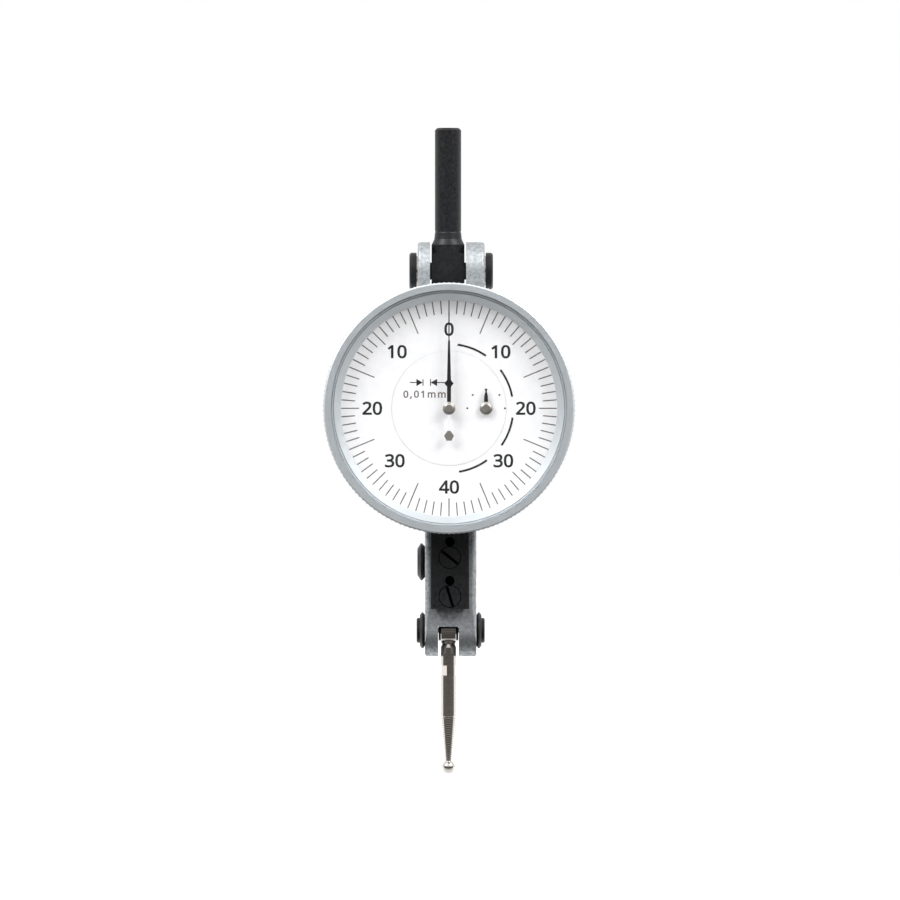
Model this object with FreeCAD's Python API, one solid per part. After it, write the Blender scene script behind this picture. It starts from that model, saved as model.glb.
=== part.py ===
"""Dial test indicator: a bar body with a round dial case, a swivelling stem and a swivelling contact point.

Units are millimetres. While a piece is drawn, x and z are counted from the dial's centre and y from the middle
of the bar: +x to the reader's right, +y away from the reader, +z towards the stem. export() then moves every
piece so that the origin lies on the stem's axis, half way along the stretch that a holder clamps.
"""
import FreeCAD
import Part
import math
import os

V = FreeCAD.Vector
X_AXIS = V(1, 0, 0)
Y_AXIS = V(0, 1, 0)
Z_AXIS = V(0, 0, 1)

# ---- driving dimensions ----
# fits
running_clearance = 0.04        # radial, a shaft in its bearing
screw_clearance = 0.03          # radial, a screw in its hole
press_clearance = 0.005         # radial, wheels and hubs pressed on an arbor
screw_tip_room = 0.2            # left beyond the tip of a screw in a blind hole
side_clearance = 0.08           # between flat faces that slide past each other
seat_clearance = 0.05           # round pieces seated in a recess
swing_clearance = 0.35          # between curved faces of moving pieces

# bar body
bar_x = 0.25                    # middle of the bar, to the right of the dial's centre
bar_width = 7.8
bar_depth = 10.0
bar_edge_round = 0.7
side_wall = 0.85
front_wall = 0.9
cover_thickness = 0.8
cover_rim = 0.45                # wall left around the back cover
cover_inset_bottom = 3.4        # height of the cover's lower end above the cavity's bottom
cover_overlap = 2.0             # how far the cover reaches past the cavity's top
mechanism_x = -0.08             # plane of the contact lever and of both forks
mechanism_y = -0.9              # line of the lever, sector and crown wheel pivots

# dial case
case_radius = 17.5
case_wall = 1.0
case_front_y = -10.2
case_floor_y = -5.0
case_back_y = -3.4
case_chamfer = 0.8
window_half_height = 7.6        # opening through the case floor for the gear train
boss_ring_radius = 13.4
boss_radius = 1.7
boss_angles = (65, 180, 295)

# nose
nose_pivot_z = -33.7
nose_radius = 3.95
nose_corner_round = 0.45
nose_slot_width = 3.15
nose_slot_top_z = -33.1
nose_taper_z = -26.0
cavity_bottom_z = -31.3
lever_room = 2.5                # reach of the hollow round the contact lever, in front and behind
cavity_top_z = 13.5

# stem, ears and their pivot
stem_x = -0.15
stem_radius = 2.0
stem_collar_radius = 2.1        # foot of the slight taper under the groove
stem_cone_height = 0.85
stem_top_z = 42.65
stem_shoulder_z = 25.75
stem_block_top_z = 23.6
stem_block_width = 5.0
stem_boss_radius = 2.6
stem_groove_z = 26.7
stem_groove_width = 0.3
stem_groove_depth = 0.08
stem_chamfer = 0.35
stem_pivot_z = 20.9
ear_radius = 4.4
ear_gap = 5.5
ear_left_thickness = 1.85
ear_right_thickness = 2.8
ear_root_z = 13.0
ear_edge_round = 0.45
stem_washer_thickness = 0.17
stem_washer_radius = 2.3
stem_screw_head_radius = 2.8
stem_screw_head_height = 1.1
stem_screw_radius = 1.3
stem_screw_reach = 1.5          # how far the pivot enters the stem's block

# bezel
bezel_wall = 1.2                # rim over the case, measured over the teeth
bezel_teeth = 158
bezel_tooth_depth = 0.24
bezel_front_y = -13.9
bezel_back_y = -8.4
bezel_rim_width = 1.2           # flat front of the rim
bezel_lip_depth = 0.85
bezel_ledge_width = 0.5         # seat of the gasket
bezel_slope_width = 1.0
bezel_slope_lip = 0.45          # thickness of the sloped ring where it ends over the dial
bezel_chamfer = 0.3
bezel_band_margin = 0.55        # smooth stretch of the rim in front of and behind the teeth
crystal_thickness = 0.8
crystal_bevel = 0.25
gasket_thickness = 0.2
gasket_width = 0.4
retaining_wire_radius = 0.25

# dial
dial_face_y = -11.3
dial_thickness = 0.4
dial_ring_cover = 0.65          # how far the dial ring reaches under the sloped ring
dial_split_radius = 8.6
dial_split_gap = 0.1
dial_hole_radius = 0.75
dial_post_ring = 7.4
dial_post_radius = 0.5
dial_post_angles = (75, 180, 285)

# movement plate
plate_back_y = -7.8
plate_thickness = 0.8
plate_screw_head_radius = 1.1
plate_screw_head_height = 0.45
plate_screw_radius = 0.6
plate_screw_length = 2.6
jewel_radius = 0.75
jewel_thickness = 0.35

# gear train
crown_teeth = 60
centre_pinion_teeth = 12
crown_module = 0.15
crown_face = 0.6
crown_disc_thickness = 0.5
sector_teeth_per_turn = 218
crown_pinion_teeth = 12
sector_pivot_z = -23.3
sector_thickness = 0.8
sector_x = -1.9
sector_hub_radius = 1.5
sector_rim = 1.6                # depth of the toothed head
sector_neck_radius = 16.1
sector_neck_angle = 0.045
sector_root_angle = 0.9
sector_hole_places = (7.0, 11.0)
sector_hole_radius = 0.42
sector_tooth_count = 9
crown_pinion_length = 1.5
counter_x = 5.6
counter_pinion_teeth = 14
counter_wheel_teeth = 56
counter_wheel_thickness = 0.4
counter_pinion_length = 0.7
arbor_radius = 0.4
pivot_radius = 0.25
pointer_arbor_radius = 0.45
centre_pinion_length = 1.1

counter_pinion_y = -10.5

# bridge under the pointer's arbor
bridge_gap = 0.15
bridge_thickness = 0.6
bridge_half = 6.6
bridge_foot = 1.2

# contact lever
lever_arm_ratio = 1.8           # lever's arm over the sector's arm
lever_thickness = 1.0
lever_cheek_gap = 2.3
lever_cheek_radius = 1.55
lever_bridge_gap = 0.2
lever_bridge_height = 0.75
lever_arm_width = 2.2
drive_pin_radius = 0.45
axle_radius = 0.6
axle_pivot_radius = 0.42
axle_pivot_length = 1.0

# contact point
holder_boss_radius = 1.9
holder_side_gap = 0.05
contact_top_z = -35.7
contact_radius = 1.175
contact_shoulder_z = -36.3
contact_taper_z = -46.6
contact_tip_z = -53.45
contact_tip_radius = 0.5
contact_stub_radius = 0.55
contact_stub_length = 1.3
wrench_flat_top_z = -39.05
wrench_flat_height = 1.5
wrench_across_flats = 1.5
wrench_flat_turn = 63.0         # degrees from the dial's side to the first flat
ball_radius = 1.015
ball_z = -54.5

# screws and caps on the outside
nose_screw_flange_radius = 2.75
nose_screw_flange = 0.78
nose_screw_boss_radius = 1.9
nose_screw_boss = 0.5
nose_screw_edge = 0.15
nose_screw_slope = 0.3          # both sides of the flange slope to its rim
nose_screw_rim = 0.18
nose_screw_foot_radius = 2.35
nose_screw_radius = 1.45
cap_radius = 2.825
cap_height = 1.15
cap_face_radius = 2.0
cap_foot_radius = 2.35
cap_slope = 0.5
cap_rim = 0.2
sector_bush_radius = 1.1
sector_arbor_radius = 0.5
cover_screw_radius = 0.5
cover_screw_head_radius = 0.9
cover_screw_head_height = 0.4
cover_screw_length = 1.4
cover_screw_inset = 1.35

# dovetail
dovetail_x = 0.13
dovetail_width = 5.86
dovetail_neck = 4.4
dovetail_height = 1.6
dovetail_bottom_z = -30.4
dovetail_case_gap = 0.4         # between the plate's upper end and the case
dovetail_screw_shares = (0.152, 0.624)  # heights above the plate's lower end, over its length
dovetail_hole_shares = (0.344, 0.816)
dovetail_hole_radius = 0.72
dovetail_screw_head_radius = 1.6
dovetail_screw_head_height = 0.7
dovetail_screw_recess = 0.06
dovetail_seat_gap = 0.12        # radial, round the flush heads
dovetail_screw_radius = 0.65
dovetail_screw_length = 2.4
dovetail_edge = 0.12
dovetail_screw_turns = (73, 39)
slot_width = 0.42
slot_depth = 0.25

# hands
hand_y = -12.45
hand_thickness = 0.12
hand_tip = 14.8
hand_tip_width = 0.18
hand_step = 10.3                # where the needle thins to its tip
hand_step_width = 0.3
hand_root_width = 0.6
hand_spade = 3.75               # small crosswise point on the needle
hand_spade_width = 1.4
hand_spade_height = 1.0
hand_neck_width = 0.3
hand_tail = 4.9
hand_tail_start = 1.0
hand_tail_neck = 3.3
hand_tail_widest = 4.15
hand_tail_width = 1.5
hub_radius = 0.97
hub_height = 0.45
counter_hand_y = -11.85
counter_hand_tip = 3.0
counter_hand_tail = 1.2
counter_bulb_width = 0.4
counter_hand_width = 0.6
counter_hand_waist = 1.75
counter_hub_height = 0.3

# hairspring
spring_inner_radius = 1.2
spring_outer_radius = 4.2
spring_turns = 5
spring_strip = 0.1
spring_height = 0.3
spring_y = -9.4
collet_radius = 1.1
collet_height = 0.5
stud_radius = 0.35

# ---- dimensions that follow ----
bar_left = bar_x - bar_width / 2
bar_right = bar_x + bar_width / 2
bar_front = -bar_depth / 2
bar_back = bar_depth / 2
cavity_left = bar_left + side_wall
cavity_right = bar_right - side_wall
cavity_front = bar_front + front_wall
cover_front = bar_back - cover_thickness
dovetail_length = -case_radius - dovetail_case_gap - dovetail_bottom_z
slot_left = mechanism_x - nose_slot_width / 2
slot_right = mechanism_x + nose_slot_width / 2
gap_left = stem_x - ear_gap / 2
gap_right = stem_x + ear_gap / 2
ear_left = gap_left - ear_left_thickness
ear_right = gap_right + ear_right_thickness
bezel_bore = case_radius + swing_clearance
bezel_radius = bezel_bore + bezel_wall
bezel_lip_radius = bezel_radius - bezel_rim_width
bezel_ledge_radius = bezel_lip_radius - bezel_ledge_width
bezel_window_radius = bezel_ledge_radius - bezel_slope_width
bezel_window_y = dial_face_y - bezel_slope_lip
dial_ring_radius = bezel_window_radius + dial_ring_cover
plate_front_y = plate_back_y - plate_thickness
plate_radius = case_radius - case_wall - seat_clearance
dial_back_y = dial_face_y + dial_thickness
crown_radius = crown_module * crown_teeth / 2
centre_pinion_radius = crown_module * centre_pinion_teeth / 2
train_distance = -sector_pivot_z
sector_module = 2 * train_distance / (sector_teeth_per_turn + crown_pinion_teeth)
sector_radius = sector_module * sector_teeth_per_turn / 2
counter_module = 2 * counter_x / (counter_pinion_teeth + counter_wheel_teeth)
pivot_distance = sector_pivot_z - nose_pivot_z
sector_arm = pivot_distance / (1 + lever_arm_ratio)
drive_pin_z = sector_pivot_z - sector_arm
mesh_y = mechanism_y - crown_radius
plate_screw_end = plate_front_y + plate_screw_length
wire_y = (case_front_y + bezel_back_y) / 2
counter_wheel_y = counter_pinion_y + (counter_pinion_length - counter_wheel_thickness) / 2
axle_half = nose_slot_width / 2 + axle_pivot_length
stem_datum_z = (stem_groove_z + stem_groove_width + stem_top_z - stem_chamfer) / 2


# ---- helpers ----
def box(x0, x1, y0, y1, z0, z1):
    return Part.makeBox(x1 - x0, y1 - y0, z1 - z0, V(x0, y0, z0))


def rod_x(radius, x0, x1, y, z):
    return Part.makeCylinder(radius, x1 - x0, V(x0, y, z), X_AXIS)


def rod_y(radius, y0, y1, x=0, z=0):
    return Part.makeCylinder(radius, y1 - y0, V(x, y0, z), Y_AXIS)


def rod_z(radius, z0, z1, x, y):
    return Part.makeCylinder(radius, z1 - z0, V(x, y, z0), Z_AXIS)


def polygon(points):
    """A face from corner points."""
    return Part.Face(Part.makePolygon(points + [points[0]]))


def turned_y(profile, x=0, z=0):
    """A solid of revolution about the Y direction from (radius, y) corners."""
    face = polygon([V(x + r, y, z) for r, y in profile])
    return face.revolve(V(x, 0, z), Y_AXIS, 360)


def turned_z(profile, x, y):
    """A solid of revolution about the Z direction from (radius, z) corners."""
    face = polygon([V(x + r, y, z) for r, z in profile])
    return face.revolve(V(x, y, 0), Z_AXIS, 360)


def turned_x(profile, y, z):
    """A solid of revolution about the X direction from (radius, x) corners."""
    face = polygon([V(x, y, z + r) for r, x in profile])
    return face.revolve(V(0, y, z), X_AXIS, 360)


def on_circle(radius, degrees, y=0, x=0, z=0):
    """A point on a circle in the dial's plane, the angle counted from +x towards +z."""
    angle = math.radians(degrees)
    return V(x + radius * math.cos(angle), y, z + radius * math.sin(angle))


def gear_outline(teeth, module, count, top=0.8, foot=1.0, shift=0.0):
    """Corners of a toothed wheel as (radius, angle), with backlash; count teeth are drawn, the rest is plain."""
    pitch = module * teeth / 2
    step = 2 * math.pi / teeth
    points = []
    for i in range(count):
        middle = (i - (count - 1) / 2 + shift) * step
        for radius, share in ((pitch - foot * module, -0.27), (pitch, -0.2), (pitch + top * module, -0.1),
                              (pitch + top * module, 0.1), (pitch, 0.2), (pitch - foot * module, 0.27)):
            points.append((radius, middle + share * step))
    return points


def gear_x(outline, x0, x1, y, z):
    """An outline of (radius, angle from +z towards -y) corners, extruded along X."""
    corners = [V(x0, y - r * math.sin(a), z + r * math.cos(a)) for r, a in outline]
    return polygon(corners).extrude(V(x1 - x0, 0, 0))


def gear_y(outline, y0, y1, x=0, z=0):
    """An outline of (radius, angle from +x towards +z) corners, extruded along Y."""
    corners = [V(x + r * math.cos(a), y0, z + r * math.sin(a)) for r, a in outline]
    return polygon(corners).extrude(V(0, y1 - y0, 0))


def slot_cut(radius, y_face, x, z, degrees):
    """The driver slot across a screw head that faces the reader."""
    cut = box(-radius, radius, y_face, y_face + slot_depth, -slot_width / 2, slot_width / 2)
    cut.rotate(V(0, 0, 0), Y_AXIS, degrees)
    cut.translate(V(x, 0, z))
    return cut


def export(name, shape):
    moved = shape.copy()
    moved.translate(V(-stem_x, 0, -stem_datum_z))
    moved = moved.removeSplitter() if len(moved.Solids) == 1 else moved
    if not moved.isValid():
        raise ValueError(name + " isn't a valid solid")
    moved.exportStep("parts/" + name + ".step")
    print(name, len(moved.Solids), round(moved.Volume, 3))


# ---- housing ----
def bar_blank():
    """The bar with rounded long edges, cut to a side outline that tapers to a round nose."""
    y, z = mechanism_y, nose_pivot_z
    top_z = stem_pivot_z - ear_radius
    low_z = z - nose_radius
    stock = box(bar_left, bar_right, bar_front, bar_back, low_z, top_z)
    low_edges = [e for e in stock.Edges if e.BoundBox.YLength > bar_depth / 2 and e.BoundBox.ZMax < z]
    stock = stock.makeFillet(nose_corner_round, low_edges)
    stock = stock.makeFillet(bar_edge_round, [e for e in stock.Edges if e.BoundBox.ZLength > bar_depth * 2])
    corners = [V(bar_left, bar_front, dovetail_bottom_z), V(bar_left, bar_front, top_z),
               V(bar_left, bar_back, top_z), V(bar_left, bar_back, nose_taper_z),
               V(bar_left, y + nose_radius, z)]
    sides = [Part.makeLine(a, b) for a, b in zip(corners, corners[1:])]
    tip = Part.Arc(corners[-1], V(bar_left, y, low_z), V(bar_left, y - nose_radius, z)).toShape()
    front = Part.makeLine(V(bar_left, y - nose_radius, z), corners[0])
    outline = Part.Face(Part.Wire(sides + [tip, front])).extrude(V(bar_width, 0, 0))
    return stock.common(outline)


def ears():
    """The block that carries the two round-topped ears."""
    block = box(ear_left, ear_right, -ear_radius, ear_radius, ear_root_z, stem_pivot_z)
    block = block.fuse(rod_x(ear_radius, ear_left, ear_right, 0, stem_pivot_z)).removeSplitter()
    outer = [e for e in block.Edges if e.BoundBox.XLength < 0.01 and e.BoundBox.ZMax > ear_root_z + ear_radius]
    return block.makeFillet(ear_edge_round, outer)


def case():
    """The round case as a cup that opens towards the dial, with bosses for the movement plate."""
    cup = turned_y([(0, case_front_y), (case_radius, case_front_y), (case_radius, case_back_y - case_chamfer),
                    (case_radius - case_chamfer, case_back_y), (0, case_back_y)])
    return cup


def case_inside():
    hollow = rod_y(case_radius - case_wall, case_front_y - 1, case_floor_y)
    for degrees in boss_angles:
        spot = on_circle(boss_ring_radius, degrees)
        hollow = hollow.cut(rod_y(boss_radius, plate_back_y, case_floor_y, spot.x, spot.z))
    return hollow


def wire_groove():
    """Groove for the retaining wire, half in the case and half in the bezel."""
    return Part.makeTorus((case_radius + bezel_bore) / 2, retaining_wire_radius + seat_clearance,
                          V(0, wire_y, 0), Y_AXIS)


def cover_outline(inset):
    """Corners of the back cover's pocket, less an inset all round."""
    return (bar_left + cover_rim + inset, bar_right - cover_rim - inset,
            cavity_bottom_z + inset + cover_inset_bottom, cavity_top_z + cover_overlap - inset)


def cover_screw_spots():
    x0, x1, z0, z1 = cover_outline(0)
    return [(x, z) for z in (z0 + cover_screw_inset, z1 - cover_screw_inset * 0.7) for x in (x0 + 1.1, x1 - 1.1)]


def housing():
    body = bar_blank().fuse([ears(), case()])
    body = body.cut(case_inside())
    # main cavity, open at the back under the cover, and the pocket that the cover lies in
    x0, x1, z0, z1 = cover_outline(0)
    cavity = box(cavity_left, cavity_right, cavity_front, bar_back, z0 + 2 * cover_screw_inset, cavity_top_z - 1.0)
    lower = box(cavity_left, cavity_right, cavity_front, mechanism_y + lever_room, cavity_bottom_z,
                z0 + 3 * cover_screw_inset)
    window = box(cavity_left, cavity_right, case_floor_y - 1, cavity_front + 1, -window_half_height,
                 window_half_height)
    pocket = box(x0, x1, cover_front, bar_back + 1, z0, z1)
    body = body.cut([cavity, lower, window, pocket])
    # nose: the fork's slot, and the room above it for the lever's bridge
    slot = box(slot_left, slot_right, bar_front - 1, bar_back + 1, nose_pivot_z - nose_radius - 1,
               nose_slot_top_z)
    room = box(slot_left, slot_right, mechanism_y - lever_room, mechanism_y + lever_room, nose_slot_top_z - 1,
               cavity_bottom_z + 1)
    body = body.cut([slot, room])
    # slot between the ears
    floor_z = stem_pivot_z - stem_boss_radius - swing_clearance
    body = body.cut(box(gap_left, gap_right, -ear_radius - 1, ear_radius + 1, floor_z,
                        stem_pivot_z + ear_radius + 1))
    # round holes
    y, z = mechanism_y, nose_pivot_z
    holes = [rod_x(nose_screw_radius + screw_clearance, bar_left - 1, slot_left + 1, y, z),
             rod_x(nose_screw_radius + screw_clearance, slot_right - 1, bar_right + 1, y, z),
             rod_x(stem_screw_radius + screw_clearance, ear_left - 1, ear_right + 1, 0, stem_pivot_z),
             rod_x(sector_bush_radius + screw_clearance, bar_left - 1, bar_right + 1, y, sector_pivot_z),
             rod_x(jewel_radius + screw_clearance, cavity_left - jewel_thickness - seat_clearance,
                   cavity_right + jewel_thickness + seat_clearance, y, 0)]
    for degrees in boss_angles:
        spot = on_circle(boss_ring_radius, degrees)
        holes.append(rod_y(plate_screw_radius + screw_clearance, plate_back_y - 1, plate_screw_end + screw_tip_room,
                           spot.x, spot.z))
    for screw_z in dovetail_screw_places():
        holes.append(rod_y(dovetail_screw_radius + screw_clearance, bar_front - 1, cavity_front + 1, dovetail_x,
                           screw_z))
    for hole_z in dovetail_hole_places():
        holes.append(rod_y(dovetail_hole_radius, bar_front - 1, cavity_front + 1, dovetail_x, hole_z))
    for x, z in cover_screw_spots():
        holes.append(rod_y(cover_screw_radius + screw_clearance, cover_front - cover_screw_length - screw_tip_room,
                           bar_back, x, z))
    return body.cut(holes + [wire_groove()])


def back_cover():
    x0, x1, z0, z1 = cover_outline(seat_clearance)
    plate = box(x0, x1, cover_front, bar_back, z0, z1)
    for x, z in cover_screw_spots():
        plate = plate.cut(rod_y(cover_screw_radius + screw_clearance, cover_front - 1, bar_back + 1, x, z))
        plate = plate.cut(rod_y(cover_screw_head_radius + screw_clearance, bar_back - cover_screw_head_height,
                                bar_back + 1, x, z))
    return plate


def cover_screws():
    screws = []
    for x, z in cover_screw_spots():
        head = rod_y(cover_screw_head_radius, bar_back - cover_screw_head_height, bar_back, x, z)
        shank = rod_y(cover_screw_radius, cover_front - cover_screw_length, bar_back - cover_screw_head_height / 2,
                      x, z)
        slot = box(x - cover_screw_head_radius, x + cover_screw_head_radius, bar_back - slot_depth / 1.5, bar_back,
                   z - slot_width / 3, z + slot_width / 3)
        screws.append(head.fuse(shank).cut(slot))
    return Part.makeCompound(screws)


# ---- dovetail ----
def dovetail_screw_places():
    return [dovetail_bottom_z + share * dovetail_length for share in dovetail_screw_shares]


def dovetail_hole_places():
    return [dovetail_bottom_z + share * dovetail_length for share in dovetail_hole_shares]


def dovetail_plate():
    x, half, neck = dovetail_x, dovetail_width / 2, dovetail_neck / 2
    front = bar_front - dovetail_height
    half_section = [(neck, bar_front), (half, front + dovetail_edge * 2), (half, front + dovetail_edge),
                    (half - dovetail_edge, front)]
    section = half_section + [(-width, y) for width, y in reversed(half_section)]
    corners = [V(x + width, y, dovetail_bottom_z) for width, y in section]
    plate = polygon(corners).extrude(V(0, 0, dovetail_length))
    cuts = []
    for z in dovetail_hole_places():
        cuts.append(rod_y(dovetail_hole_radius, front - 1, bar_front + 1, x, z))
    for z in dovetail_screw_places():
        cuts.append(rod_y(dovetail_screw_head_radius + dovetail_seat_gap, front - 1,
                          front + dovetail_screw_recess + dovetail_screw_head_height, x, z))
        cuts.append(rod_y(dovetail_screw_radius + screw_clearance, front, bar_front + 1, x, z))
    return plate.cut(cuts)


def dovetail_screws():
    front = bar_front - dovetail_height + dovetail_screw_recess
    screws = []
    for z, turn in zip(dovetail_screw_places(), dovetail_screw_turns):
        head = rod_y(dovetail_screw_head_radius, front, front + dovetail_screw_head_height, dovetail_x, z)
        shank = rod_y(dovetail_screw_radius, front + dovetail_screw_head_height / 2, front + dovetail_screw_length,
                      dovetail_x, z)
        screws.append(head.fuse(shank).cut(slot_cut(dovetail_screw_head_radius + 1, front, dovetail_x, z, turn)))
    return Part.makeCompound(screws)


# ---- pivot screws and caps ----
def nose_pivot_screw(side):
    """side is -1 for the left leg and +1 for the right one. The flange is thickest at its rim."""
    leg_outer = bar_left if side < 0 else bar_right
    leg_inner = slot_left if side < 0 else slot_right
    bore = axle_pivot_radius + running_clearance
    bore_end = mechanism_x + side * (axle_half + side_clearance)
    face = leg_outer + side * (nose_screw_flange + nose_screw_boss)
    flange_face = leg_outer + side * nose_screw_flange
    rim_out = leg_outer + side * (nose_screw_slope + nose_screw_rim)
    profile = [(0, face), (nose_screw_boss_radius - nose_screw_edge, face),
               (nose_screw_boss_radius, face - side * nose_screw_edge),
               (nose_screw_boss_radius, flange_face),
               (nose_screw_foot_radius, flange_face),
               (nose_screw_flange_radius, rim_out),
               (nose_screw_flange_radius, leg_outer + side * nose_screw_slope),
               (nose_screw_foot_radius, leg_outer),
               (nose_screw_radius, leg_outer),
               (nose_screw_radius, leg_inner),
               (bore, leg_inner),
               (bore, bore_end),
               (0, bore_end)]
    return turned_x(profile, mechanism_y, nose_pivot_z)


def sector_cap():
    """Cap over the left end of the sector's arbor, thickest at its rim and tapered on both sides."""
    top = bar_left - cap_height
    rim_end = top + cap_slope + cap_rim
    profile = [(0, top), (cap_face_radius, top), (cap_radius, top + cap_slope), (cap_radius, rim_end),
               (cap_foot_radius, bar_left), (0, bar_left)]
    return turned_x(profile, mechanism_y, sector_pivot_z)


def sector_bushes():
    bore = rod_x(pivot_radius + running_clearance, bar_left - 1, bar_right + 1, mechanism_y, sector_pivot_z)
    left = rod_x(sector_bush_radius, bar_left, cavity_left, mechanism_y, sector_pivot_z)
    right = rod_x(sector_bush_radius, cavity_right, bar_right, mechanism_y, sector_pivot_z)
    return Part.makeCompound([left.cut(bore), right.cut(bore)])


def stem_pivot_screw(side):
    face = ear_left if side < 0 else ear_right
    head = face + side * stem_washer_thickness
    block = stem_x + side * stem_block_width / 2
    edge = 0.25
    profile = [(0, head + side * stem_screw_head_height),
               (stem_screw_head_radius - edge, head + side * stem_screw_head_height),
               (stem_screw_head_radius, head + side * (stem_screw_head_height - edge)),
               (stem_screw_head_radius, head + side * edge / 2),
               (stem_screw_head_radius - edge / 2, head),
               (stem_screw_radius, head),
               (stem_screw_radius, block - side * stem_screw_reach),
               (0, block - side * stem_screw_reach)]
    return turned_x(profile, 0, stem_pivot_z)


def stem_washers():
    washers = []
    for face, side in ((ear_left, -1), (ear_right, 1)):
        x0, x1 = sorted((face, face + side * stem_washer_thickness))
        hole = rod_x(stem_screw_radius + screw_clearance, x0 - 1, x1 + 1, 0, stem_pivot_z)
        washers.append(rod_x(stem_washer_radius, x0, x1, 0, stem_pivot_z).cut(hole))
    return Part.makeCompound(washers)


# ---- stem ----
def stem():
    half = stem_block_width / 2
    block = box(stem_x - half, stem_x + half, -stem_boss_radius, stem_boss_radius, stem_pivot_z, stem_block_top_z)
    boss = rod_x(stem_boss_radius, stem_x - half, stem_x + half, 0, stem_pivot_z)
    groove_middle_z = stem_groove_z + stem_groove_width / 2
    shank = turned_z([(0, stem_pivot_z), (half, stem_pivot_z), (half, stem_shoulder_z - stem_cone_height),
                      (stem_collar_radius, stem_shoulder_z), (stem_radius, stem_groove_z),
                      (stem_radius - stem_groove_depth, groove_middle_z),
                      (stem_radius, stem_groove_z + stem_groove_width),
                      (stem_radius, stem_top_z - stem_chamfer), (stem_radius - stem_chamfer, stem_top_z),
                      (0, stem_top_z)], stem_x, 0)
    bore = stem_screw_radius + running_clearance
    holes = [rod_x(bore, stem_x - half - 1, stem_x - half + stem_screw_reach + 0.1, 0, stem_pivot_z),
             rod_x(bore, stem_x + half - stem_screw_reach - 0.1, stem_x + half + 1, 0, stem_pivot_z)]
    return block.fuse([boss, shank]).cut(holes)


# ---- bezel ----
def bezel_ring():
    """Ring with a serrated rim, a recess for the crystal, a sloped inner face and a skirt over the case."""
    root = bezel_radius - bezel_tooth_depth
    ledge_y = bezel_front_y + bezel_lip_depth + gasket_thickness
    bore = bezel_bore
    blank = turned_y([(bezel_lip_radius, bezel_front_y), (bezel_radius - bezel_chamfer, bezel_front_y),
                      (bezel_radius, bezel_front_y + bezel_chamfer), (bezel_radius, bezel_back_y - bezel_chamfer),
                      (bezel_radius - bezel_chamfer, bezel_back_y), (bore, bezel_back_y),
                      (bore, case_front_y - swing_clearance),
                      (dial_ring_radius + seat_clearance, case_front_y - swing_clearance),
                      (dial_ring_radius + seat_clearance, dial_face_y), (bezel_window_radius, dial_face_y),
                      (bezel_window_radius, bezel_window_y), (bezel_ledge_radius, ledge_y),
                      (bezel_lip_radius, ledge_y)])
    step = 2 * math.pi / bezel_teeth
    star = []
    for i in range(bezel_teeth):
        star.append((root, i * step))
        star.append((bezel_radius + 0.01, (i + 0.5) * step))
    band_front = bezel_front_y + bezel_band_margin
    band_back = bezel_back_y - bezel_band_margin
    smooth = bezel_radius - 0.1
    front_end = rod_y(smooth, bezel_front_y - 1, band_front)
    back_end = rod_y(smooth, band_back, bezel_back_y + 1)
    mask = gear_y(star, band_front, band_back).fuse([front_end, back_end])
    return blank.common(mask).cut(wire_groove())


def crystal():
    back = bezel_front_y + bezel_lip_depth
    front = back - crystal_thickness
    radius = bezel_lip_radius - seat_clearance
    return turned_y([(0, front), (radius - crystal_bevel, front), (radius, front + crystal_bevel), (radius, back),
                     (0, back)])


def crystal_gasket():
    front = bezel_front_y + bezel_lip_depth
    radius = bezel_lip_radius - seat_clearance
    return rod_y(radius, front, front + gasket_thickness).cut(rod_y(radius - gasket_width, front - 1, front + 1))


def retaining_wire():
    return Part.makeTorus((case_radius + bezel_bore) / 2, retaining_wire_radius, V(0, wire_y, 0), Y_AXIS)


def dial_ring():
    disc = rod_y(dial_ring_radius, dial_face_y, dial_back_y)
    return disc.cut(rod_y(dial_split_radius + dial_split_gap, dial_face_y - 1, dial_back_y + 1))


def centre_dial():
    disc = rod_y(dial_split_radius, dial_face_y, dial_back_y)
    holes = [rod_y(dial_hole_radius, dial_face_y - 1, dial_back_y + 1, x) for x in (0, counter_x)]
    return disc.cut(holes)


# ---- movement plate and what it carries ----
def movement_plate():
    plate = rod_y(plate_radius, plate_front_y, plate_back_y)
    cuts = [rod_y(jewel_radius + screw_clearance, plate_front_y - 1, plate_back_y + 1, x) for x in (0, counter_x)]
    for degrees in boss_angles:
        spot = on_circle(boss_ring_radius, degrees)
        cuts.append(rod_y(plate_screw_radius + screw_clearance, plate_front_y - 1, plate_back_y + 1, spot.x, spot.z))
        cuts.append(rod_y(plate_screw_head_radius + screw_clearance, plate_front_y - 1,
                          plate_front_y + plate_screw_head_height, spot.x, spot.z))
    return plate.cut(cuts)


def plate_screws():
    screws = []
    for degrees in boss_angles:
        spot = on_circle(boss_ring_radius, degrees)
        head = rod_y(plate_screw_head_radius, plate_front_y, plate_front_y + plate_screw_head_height, spot.x, spot.z)
        shank = rod_y(plate_screw_radius, plate_front_y, plate_screw_end, spot.x, spot.z)
        screws.append(head.fuse(shank).cut(slot_cut(plate_screw_head_radius + 1, plate_front_y, spot.x, spot.z, degrees)))
    return Part.makeCompound(screws)


def dial_posts():
    posts = []
    for degrees in dial_post_angles:
        spot = on_circle(dial_post_ring, degrees)
        posts.append(rod_y(dial_post_radius, dial_back_y, plate_front_y, spot.x, spot.z))
    return Part.makeCompound(posts)


def plate_jewels():
    """Pierced jewels in the movement plate for the two arbors that carry hands."""
    pointer = rod_y(jewel_radius, plate_front_y, plate_back_y)
    counter = rod_y(jewel_radius, plate_front_y, plate_back_y, counter_x)
    pointer = pointer.cut(rod_y(pointer_arbor_radius + running_clearance, plate_front_y - 1, plate_back_y + 1))
    counter = counter.cut(rod_y(arbor_radius + running_clearance, plate_front_y - 1, plate_back_y + 1, counter_x))
    return Part.makeCompound([pointer, counter])


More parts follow.
